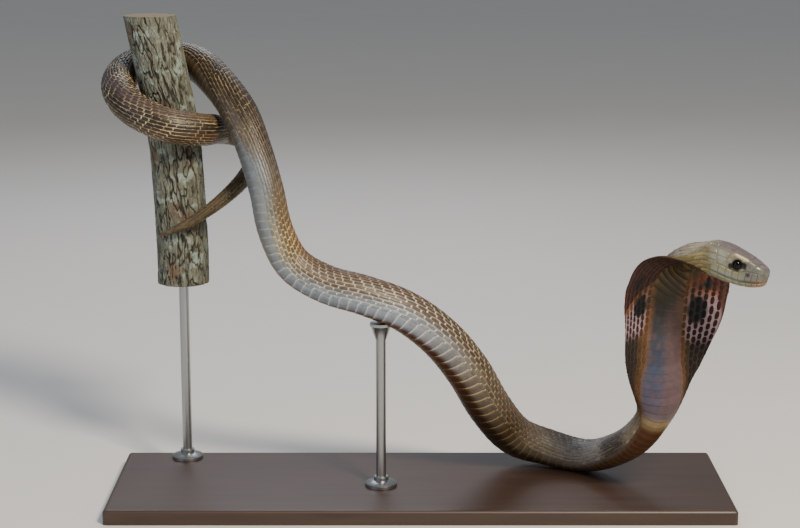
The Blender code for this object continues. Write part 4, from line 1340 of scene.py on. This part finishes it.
def dark_round_eyes(tone, spot):
    """A black rim round each eye, drawn out behind, below and in front of it."""
    _, tailward, belly, _ = frame_at(EYE_AT)
    for centre in EYES:
        apart = np.linalg.norm(spot - centre, axis=-1)
        along = (spot - centre) @ tailward / np.maximum(apart, 0.1)
        under = (spot - centre) @ belly / np.maximum(apart, 0.1)
        reach = EYE_RADIUS + 0.55 + 2.7 * np.exp(-((along - 0.8) / 0.25)**2) * (under > 0.0) \
            + 1.4 * np.exp(-((under - 0.95) / 0.12)**2) * (under > 0.0) \
            + 2.8 * np.exp(-((along + 0.97) / 0.08)**2)
        tone = tint(tone, "#0c0807", 1.0 - ease(reach - 0.5, reach + 0.6, apart))
    return tone


def paint_head(part, s, q, spot):
    """Tones of the head: lilac-grey crown, pale cheeks, pink lips at the snout, dark round the eye, a
    painted highlight along the brow and painted shade in the nostrils.
    """
    way = np.abs(q)
    if part is CHIN:
        tone = mix(linear("#6f6640"), linear("#7d7d66"), ease(0.45, 0.8, way))
        front = 1.0 - ease(5.0, 15.0, s)
        tone = tint(tone, "#84604a", 0.7 * front * ease(0.2, 0.6, way))
    else:
        tone = mix(linear("#655d5d"), linear("#74725e"), ease(0.34, 0.5, way))
        tone = tint(tone, "#60615a", (1.0 - ease(13.0, 19.0, s)) * ease(0.2, 0.5, way))
        tone = tint(tone, "#6f6a4c", ease(14.0, 22.0, s) * ease(0.62, 0.9, way) * 0.7)
        tone = tint(tone, "#7d8074", inside(s - 34.0, 8.0, 5.0) * inside(way - 0.58, 0.17, 0.12))
        tone = tint(tone, "#6e6252", 0.5 * inside(s - 27.5, 3.0, 2.5) * inside(way - 0.55, 0.16, 0.1))
        tone = tint(tone, "#6f6c5a", ease(36.0, 44.0, s) * (1.0 - ease(0.3, 0.5, way)))
        tone = tint(tone, "#75807c", 0.7 * ease(0.84, 0.95, way) * inside(s - 28.0, 11.0, 6.0))
        tone = tint(tone, "#69624a", ease(34.0, 45.0, s) * ease(0.35, 0.55, way))
        lips = ease(0.8, 0.96, way) * (1.0 - ease(3.0, 12.0, s))
        tone = tint(tone, "#86644e", 0.65 * lips)
        # A painted highlight along the brow, over the eye.
        brow = inside(way - BROW_HIGHLIGHT_LINE, 0.035, 0.03) * plateau(12.0, 15.0, 22.0, 26.0, s)
        tone = tint(tone, "#cfc69a", 0.85 * brow)
    tone = dark_round_eyes(tone, spot)
    # Painted shade in the nostrils.
    for centre in NOSTRILS:
        apart = np.linalg.norm(spot - centre, axis=-1)
        tone = tint(tone, "#2c161a", 1.0 - ease(NOSTRIL_SHADE - 0.4, NOSTRIL_SHADE + 0.8, apart))
    return tone


SEAM_SHADE = 0.8             # the skin between the shields against the shields
HEAD_PAINT_TO, HEAD_PAINT_FADE = 54.0, (44.0, 53.0)


def paint_skin_of_head():
    """The skin between the shields takes their tones, a little darker."""
    places = read_places(skin_mesh)
    spots = np.empty(3 * len(places))
    skin_mesh.vertices.foreach_get("co", spots)
    spots = spots.reshape(-1, 3) / MM
    layer = skin_mesh.color_attributes["tone"].data
    tones = np.empty(4 * len(places))
    layer.foreach_get("color", tones)
    tones = tones.reshape(-1, 4)
    near = np.nonzero(places[:, 0] < HEAD_PAINT_TO)[0]
    s, column = places[near, 0], places[near, 2].astype(int)
    step = np.minimum(column, 2 * HALF - column)
    halves = RINGS[np.rint(ring_number(s)).astype(int)][:, :HALF + 1]
    arcs = np.cumsum(np.linalg.norm(np.diff(halves, axis=1, prepend=halves[:, :1]), axis=2), axis=1)
    arc, to_lip, to_chin = arcs[np.arange(len(near)), step], arcs[:, LIP], arcs[:, -1]
    crown_way = arc / np.maximum(to_lip, 1e-6)
    chin_way = (to_chin - arc) / np.maximum(to_chin - to_lip, 1e-6)
    tone = np.where((step <= LIP)[:, None], paint_head(CROWN, s, crown_way, spots[near]),
                    paint_head(CHIN, s, chin_way, spots[near]))
    tones[near, :3] = mix(SEAM_SHADE * tone, tones[near, :3], ease(*HEAD_PAINT_FADE, s))
    layer.foreach_set("color", tones.ravel())


paint_skin_of_head()


def mirrored_order(spot):
    """The same points with the template's left and right swapped, which turns its faces over."""
    side = int(round(len(spot)**0.5))
    return spot.reshape(side, side, -1)[:, ::-1].reshape(len(spot), -1)


def make_shields():
    template = shield_template()
    quads = template["quads"]
    points, tones, patches = [], [], []
    for part, corners in all_shields():
        s, q = corners_to_places(corners, template, SHIELD_GAP)
        ground = on_head(part, s, q, np.zeros(len(s)))
        spot = on_head(part, s, q, template["height"])
        shade = 1.0 + 0.07 * random.uniform(-1.0, 1.0)
        tone = paint_head(part, s, q, ground) * shade * (1.0 - 0.12 * template["tips"][:, None])
        four = ground[quads]
        facing = np.cross(four[:, 2] - four[:, 0], four[:, 3] - four[:, 1]).sum(axis=0)
        out = (on_head(part, s, q, np.ones(len(s))) - ground).sum(axis=0)
        if np.dot(facing, out) < 0.0:
            spot, tone = mirrored_order(spot), mirrored_order(tone)
        points.append(spot)
        tones.append(tone)
        g = q.mean() if part is CROWN else 2.0 - q.mean()
        span = {"side": template["u"], "forward": (template["v"] + 1.0) / 2.0}
        patches.append(bake_patches(span, np.array([s.mean()]), np.array([g]))[0])
    return tiled_mesh("head_shields", quads, np.array(points), np.array(tones), np.array(patches))


smooth_keratin = hide_material("smooth_keratin_shields", patches=300.0, uneven=0.1, roughness=(0.2, 0.36),
                               gloss=0.5, bump_scale=1500.0, bump_depth=0.00007)
shield_mesh = make_shields()
keep(show("head_shields", shield_mesh, smooth_keratin), ("head",))
print("head shields:", len(shield_mesh.polygons), "quads")

# %% [markdown]
# ## Eyes
# A snake has no lids: a clear scale covers the eye. The eye is a ball with a wet gloss, nearly black,
# with a thin warm ring round its round pupil.

# %% Eyes
IRIS_RING = 0.62             # share of the eye's radius
IRIS_WIDTH = 0.06
BALL_GAP = 0.1               # the ball is so much smaller than the bulge in the hide


def make_eye(name, centre, outside):
    bm = bmesh.new()
    bmesh.ops.create_uvsphere(bm, u_segments=48, v_segments=24, radius=(EYE_RADIUS - BALL_GAP) * MM)
    spots = np.array([vert.co for vert in bm.verts]) / (EYE_RADIUS * MM)
    turn = Vector((0.0, 0.0, 1.0)).rotation_difference(Vector(outside)).to_matrix()
    for vert in bm.verts:
        vert.co = turn @ vert.co + Vector(centre * MM)
    mesh = mesh_of(name, bm)
    ring = np.hypot(spots[:, 0], spots[:, 1])
    warm = np.exp(-((ring - IRIS_RING) / IRIS_WIDTH)**2) * (spots[:, 2] > 0.0)
    give_tones(mesh, mix(linear("#020202"), linear("#120b06"), warm))
    mesh.shade_smooth()
    return mesh


def eye_material():
    material, tree = new_material("wet_dark_eye")
    tone = add(tree, "ShaderNodeVertexColor", {"layer_name": "tone"})
    finish_material(tree, Base_Color=tone.outputs["Color"], Roughness=0.05, Specular_IOR_Level=0.22)
    return material


wet_eye = eye_material()
_, _, _, eye_flank = frame_at(EYE_AT)
for node, centre, side in (("eye_right", EYES[0], 1.0), ("eye_left", EYES[1], -1.0)):
    keep(show(node + "_ball", make_eye(node, centre, side * eye_flank), wet_eye), (node,))
print("eyes ready")

# %% [markdown]
# ## The cut stem
# The bark is a fine grid rolled round the stem's line. Long upright fissures split it in flat ridges,
# as on an old tree. They come from noise that is stretched along the stem, where it crosses zero, so
# they fork, run out and begin again. They cut inward, so that nothing reaches outside the solid stem.
# One flat face closes each sawn end, in a material of its own with the rings of growth.

# %% Cut stem
STEM_BOTTOM, STEM_TOP = 166.0, 388.0
BARK_ROWS, BARK_SIDES = 330, 290
RIDGE_WIDTH, RIDGE_LENGTH = 4.6, 19.0
FISSURE_DEPTH, RIDGE_HEIGHT = 1.2, 0.45
BARK_STRETCH = (1.0, 1.0, 0.16)
BARK_CREASE = math.radians(60.0)
TREE_RING = 0.0013           # metres from one growth ring of the wood to the next
WAVE_UNIT = 20.0             # the wave texture turns by so many radians for each unit of its scale


def fissures(around, z, width, length, seed):
    """One in the middle of a fissure, and zero on a ridge."""
    sway = noise.noise(Vector((around[0] / 12.0, around[1] / 12.0, z / 18.0 + seed)))
    place = (around[0] / width + 0.5 * sway, around[1] / width - 0.5 * sway, z / length + seed)
    wave = noise.noise(Vector(place)) + 0.45 * noise.noise(Vector(place) * 2.3)
    return 1.0 - float(ease(0.0, 0.17, abs(wave)))


def bark_height(angle, z):
    """Height of the bark in millimetres, how deep in a fissure the place lies, and its tint."""
    around = (STEM_RADIUS * math.cos(angle), STEM_RADIUS * math.sin(angle))
    coarse = fissures(around, z, RIDGE_WIDTH, RIDGE_LENGTH, 0.0)
    fine = fissures(around, z, 0.45 * RIDGE_WIDTH, 0.4 * RIDGE_LENGTH, 7.0)
    tint = noise.noise(Vector((around[0] / 15.0, around[1] / 15.0, z / 26.0 + 3.0)))
    rough = noise.noise(Vector((around[0] / 1.6, around[1] / 1.6, z / 5.0)))
    fissure = min(coarse + 0.4 * fine, 1.0)
    height = RIDGE_HEIGHT * (0.4 + 0.6 * rough) * (1.0 - fissure) - FISSURE_DEPTH * fissure
    return min(height, RIDGE_HEIGHT), fissure, 0.5 + 0.5 * tint


def make_stem_mesh():
    bm = bmesh.new()
    bmesh.ops.create_grid(bm, x_segments=BARK_SIDES, y_segments=BARK_ROWS, size=1.0)
    layer = bm.verts.layers.float_vector.new("bark")
    for vert in bm.verts:
        angle = math.pi * (vert.co.x + 1.0) if vert.co.x < 0.9999 else 0.0
        z = STEM_BOTTOM + (STEM_TOP - STEM_BOTTOM) * (vert.co.y + 1.0) / 2.0
        height, fissure, tint = bark_height(angle, z)
        reach = STEM_RADIUS + height
        vert[layer] = (fissure, height, tint)
        vert.co = Vector((stem_x(z) + reach * math.cos(angle), STEM_Y + reach * math.sin(angle), z)) * MM
    bmesh.ops.remove_doubles(bm, verts=bm.verts, dist=SEAM_GAP)
    for level in (STEM_BOTTOM, STEM_TOP):
        rim = [edge for edge in bm.edges if edge.is_boundary
               and all(abs(vert.co.z / MM - level) < 0.01 for vert in edge.verts)]
        made = bmesh.ops.contextual_create(bm, geom=rim)
        for face in made["faces"]:
            face.smooth = False
            face.material_index = 1
    bmesh.ops.recalc_face_normals(bm, faces=bm.faces)
    mesh = mesh_of("perch_stem", bm)
    mesh.shade_smooth()
    mesh.set_sharp_from_angle(angle=BARK_CREASE)
    return mesh


def bark_material():
    """Grey-green ridges with brown patches, dark fissures that are partly painted shade, and fibres drawn by
    stretched noise.
    """
    material, tree = new_material("grey_weathered_bark")
    coords = add(tree, "ShaderNodeTexCoord")
    layer = add(tree, "ShaderNodeAttribute", {"attribute_name": "bark"})
    parts = add(tree, "ShaderNodeSeparateXYZ", inputs={"Vector": layer.outputs["Vector"]})
    stretch = add(tree, "ShaderNodeMapping",
                  inputs={"Vector": coords.outputs["Object"], "Scale": BARK_STRETCH})
    threads = add(tree, "ShaderNodeTexNoise",
                  inputs={"Vector": stretch.outputs[0], "Scale": 520.0, "Detail": 9.0, "Roughness": 0.65})
    lichen = add(tree, "ShaderNodeTexNoise",
                 inputs={"Vector": coords.outputs["Object"], "Scale": 95.0, "Detail": 7.0})
    fibre = add(tree, "ShaderNodeMapRange", inputs={"Value": threads.outputs["Fac"], 1: 0.34, 2: 0.66})
    ridge = add(tree, "ShaderNodeMix", {"data_type": "RGBA"},
                {0: fibre.outputs[0], 6: rgba("#454236"), 7: rgba("#7f8475")})
    brown = add(tree, "ShaderNodeMapRange", inputs={"Value": parts.outputs[2], 1: 0.58, 2: 0.8, 4: 0.7})
    warm = add(tree, "ShaderNodeMix", {"data_type": "RGBA"},
               {0: brown.outputs[0], 6: ridge.outputs[2], 7: rgba("#63472f")})
    pale = add(tree, "ShaderNodeMapRange", inputs={"Value": lichen.outputs["Fac"], 1: 0.53, 2: 0.63, 4: 0.8})
    grown = add(tree, "ShaderNodeMix", {"data_type": "RGBA"},
                {0: pale.outputs[0], 6: warm.outputs[2], 7: rgba("#93a096")})
    # The fissures are darkened by their depth: partly the bark's own colour, partly painted shade.
    colour = add(tree, "ShaderNodeMix", {"data_type": "RGBA"},
                 {0: parts.outputs[0], 6: grown.outputs[2], 7: rgba("#261e16")})
    bump = add(tree, "ShaderNodeBump",
               inputs={"Height": threads.outputs["Fac"], "Strength": 0.9, "Distance": 0.0007})
    finish_material(tree, Base_Color=colour.outputs[2], Roughness=0.88, Normal=bump.outputs[0])
    return material


def cut_wood_material():
    """Growth rings on the sawn ends, round the middle of the upper end."""
    material, tree = new_material("sawn_wood_ends")
    coords = add(tree, "ShaderNodeTexCoord")
    middle = (-stem_x(STEM_TOP) * MM, -STEM_Y * MM, 0.0)
    centred = add(tree, "ShaderNodeMapping", inputs={"Vector": coords.outputs["Object"], "Location": middle})
    rings = add(tree, "ShaderNodeTexWave", {"wave_type": "RINGS", "rings_direction": "Z"},
                {"Vector": centred.outputs[0], "Scale": 2.0 * math.pi / (WAVE_UNIT * TREE_RING),
                 "Distortion": 5.0, "Detail": 3.0, "Detail Scale": 0.6})
    stain = add(tree, "ShaderNodeTexNoise",
                inputs={"Vector": coords.outputs["Object"], "Scale": 120.0, "Detail": 6.0})
    wood = add(tree, "ShaderNodeMix", {"data_type": "RGBA"},
               {0: rings.outputs["Fac"], 6: rgba("#66563c"), 7: rgba("#8a7855")})
    colour = add(tree, "ShaderNodeMix", {"data_type": "RGBA"},
                 {0: stain.outputs["Fac"], 6: wood.outputs[2], 7: rgba("#6d6653")})
    finish_material(tree, Base_Color=colour.outputs[2], Roughness=0.8)
    return material


stem_mesh = make_stem_mesh()
keep(show("perch_stem_bark", stem_mesh, bark_material(), cut_wood_material()), ("perch_stem",))
print("stem:", len(stem_mesh.polygons), "faces")

# %% [markdown]
# ## The display stand
# A stained board and two steel rods hold the model. One rod stands under the stem, and the other one
# ends in a cup under the middle of the body. The rods are turned profiles, spun round their axis.

# %% Stand
BOARD_SIZE = (500.0, 152.0, 12.0)
BOARD_EDGE = 3.0
ROD_RADIUS, ROD_FOOT, FOOT_HEIGHTS, COLLAR_RADIUS = 4.0, 13.0, (2.8, 4.8, 8.0), 6.0
CUP_RADIUS, CUP_DEPTHS = 9.0, (3.0, 14.4)    # of the cup's rim and its foot below its top
ROD_REST = 560.0
CLEARANCE = 0.3
SPIN_STEPS = 64
STEEL_CREASE = math.radians(35.0)


def make_board():
    bm = bmesh.new()
    bmesh.ops.create_cube(bm, size=1.0)
    bmesh.ops.scale(bm, vec=Vector(BOARD_SIZE) * MM, verts=bm.verts)
    bmesh.ops.translate(bm, vec=(0.0, 0.0, BOARD_SIZE[2] / 2.0 * MM), verts=bm.verts)
    sharp = [edge for edge in bm.edges if any(vert.co.z > 0.0 for vert in edge.verts)]
    bmesh.ops.bevel(bm, geom=sharp, offset=BOARD_EDGE * MM, offset_type="OFFSET", segments=4,
                    profile=0.5, material=-1, affect="EDGES")
    bmesh.ops.recalc_face_normals(bm, faces=bm.faces)
    return mesh_of("stand_board", bm)


def spun(name, profile, place):
    """A profile of (radius, height) points spun round an upright axis."""
    bm = bmesh.new()
    chain = [bm.verts.new((place[0] * MM + radius * MM, place[1] * MM, height * MM))
             for radius, height in profile]
    edges = [bm.edges.new(pair) for pair in zip(chain, chain[1:])]
    bmesh.ops.spin(bm, geom=chain + edges, cent=(place[0] * MM, place[1] * MM, 0.0),
                   axis=(0.0, 0.0, 1.0), angle=2.0 * math.pi, steps=SPIN_STEPS, use_merge=True,
                   dvec=(0.0, 0.0, 0.0))
    bmesh.ops.remove_doubles(bm, verts=bm.verts, dist=1e-6)
    bmesh.ops.recalc_face_normals(bm, faces=bm.faces)
    mesh = mesh_of(name, bm)
    mesh.shade_smooth()
    mesh.set_sharp_from_angle(angle=STEEL_CREASE)
    return mesh


def foot_profile(base):
    low, middle, high = FOOT_HEIGHTS
    return [(0.0, base), (ROD_FOOT, base), (ROD_FOOT, base + low - 0.5), (ROD_FOOT - 0.5, base + low),
            (COLLAR_RADIUS, base + middle), (COLLAR_RADIUS, base + high - 0.4),
            (COLLAR_RADIUS - 0.4, base + high), (ROD_RADIUS, base + high)]


def stained_wood():
    """Sanded board with a dark stain: a long soft grain under a dull satin."""
    material, tree = new_material("dark_stained_wood")
    coords = add(tree, "ShaderNodeTexCoord")
    stretch = add(tree, "ShaderNodeMapping", inputs={"Vector": coords.outputs["Object"],
                                                     "Scale": (6.0, 90.0, 90.0)})
    grain = add(tree, "ShaderNodeTexNoise",
                inputs={"Vector": stretch.outputs[0], "Scale": 1.6, "Detail": 9.0, "Distortion": 0.6})
    colour = add(tree, "ShaderNodeMix", {"data_type": "RGBA"},
                 {0: grain.outputs["Fac"], 6: rgba("#2c201a"), 7: rgba("#4a382d")})
    bump = add(tree, "ShaderNodeBump",
               inputs={"Height": grain.outputs["Fac"], "Strength": 0.3, "Distance": 0.0003})
    finish_material(tree, Base_Color=colour.outputs[2], Roughness=0.42, Normal=bump.outputs[0])
    return material


def brushed_steel():
    """Turned steel, brushed round its axis: fine rings blur the highlights."""
    material, tree = new_material("brushed_steel")
    coords = add(tree, "ShaderNodeTexCoord")
    stretch = add(tree, "ShaderNodeMapping", inputs={"Vector": coords.outputs["Object"],
                                                     "Scale": (120.0, 120.0, 2500.0)})
    lines = add(tree, "ShaderNodeTexNoise", inputs={"Vector": stretch.outputs[0], "Scale": 1.0})
    rough = add(tree, "ShaderNodeMapRange", inputs={"Value": lines.outputs["Fac"], 3: 0.24, 4: 0.42})
    finish_material(tree, Base_Color=rgba("#a7a9ab"), Metallic=1.0, Roughness=rough.outputs[0])
    return material


def body_underside():
    """Height of the body's underside over a place, found by a ray from below."""
    tree = BVHTree.FromPolygons([vert.co for vert in skin_mesh.vertices],
                                [list(face.vertices) for face in skin_mesh.polygons])

    def height(x, y):
        hit, _, _, _ = tree.ray_cast(Vector((x, y, 20.0)) * MM, Vector((0.0, 0.0, 1.0)))
        return hit.z / MM
    return height


BOARD_TOP = BOARD_SIZE[2] + CLEARANCE
rest, _, _, _ = frame_at(ROD_REST)
under_body = body_underside()
steel = brushed_steel()
stem_foot = (float(stem_x(STEM_BOTTOM)), STEM_Y)
stem_rod = spun("stand_rod_stem", [*foot_profile(BOARD_TOP), (ROD_RADIUS, STEM_BOTTOM - CLEARANCE),
                                   (0.0, STEM_BOTTOM - CLEARANCE)], stem_foot)
cup_top = under_body(rest[0], rest[1]) - 2.0 * CLEARANCE
cup_high, cup_low = [cup_top - depth for depth in CUP_DEPTHS]
body_rod = spun("stand_rod_body", [*foot_profile(BOARD_TOP), (ROD_RADIUS, cup_low),
                                   (CUP_RADIUS - 1.0, cup_high), (CUP_RADIUS, cup_high + 0.8),
                                   (CUP_RADIUS, cup_top), (CUP_RADIUS - 1.0, cup_top), (0.0, cup_top)],
                (float(rest[0]), float(rest[1])))
keep(show("stand_board", make_board(), stained_wood()), ("stand_base",))
keep(show("stand_stem_rod", stem_rod, steel), ("stand_rod_stem",))
keep(show("stand_body_rod", body_rod, steel), ("stand_rod_body",))
print("stand ready")
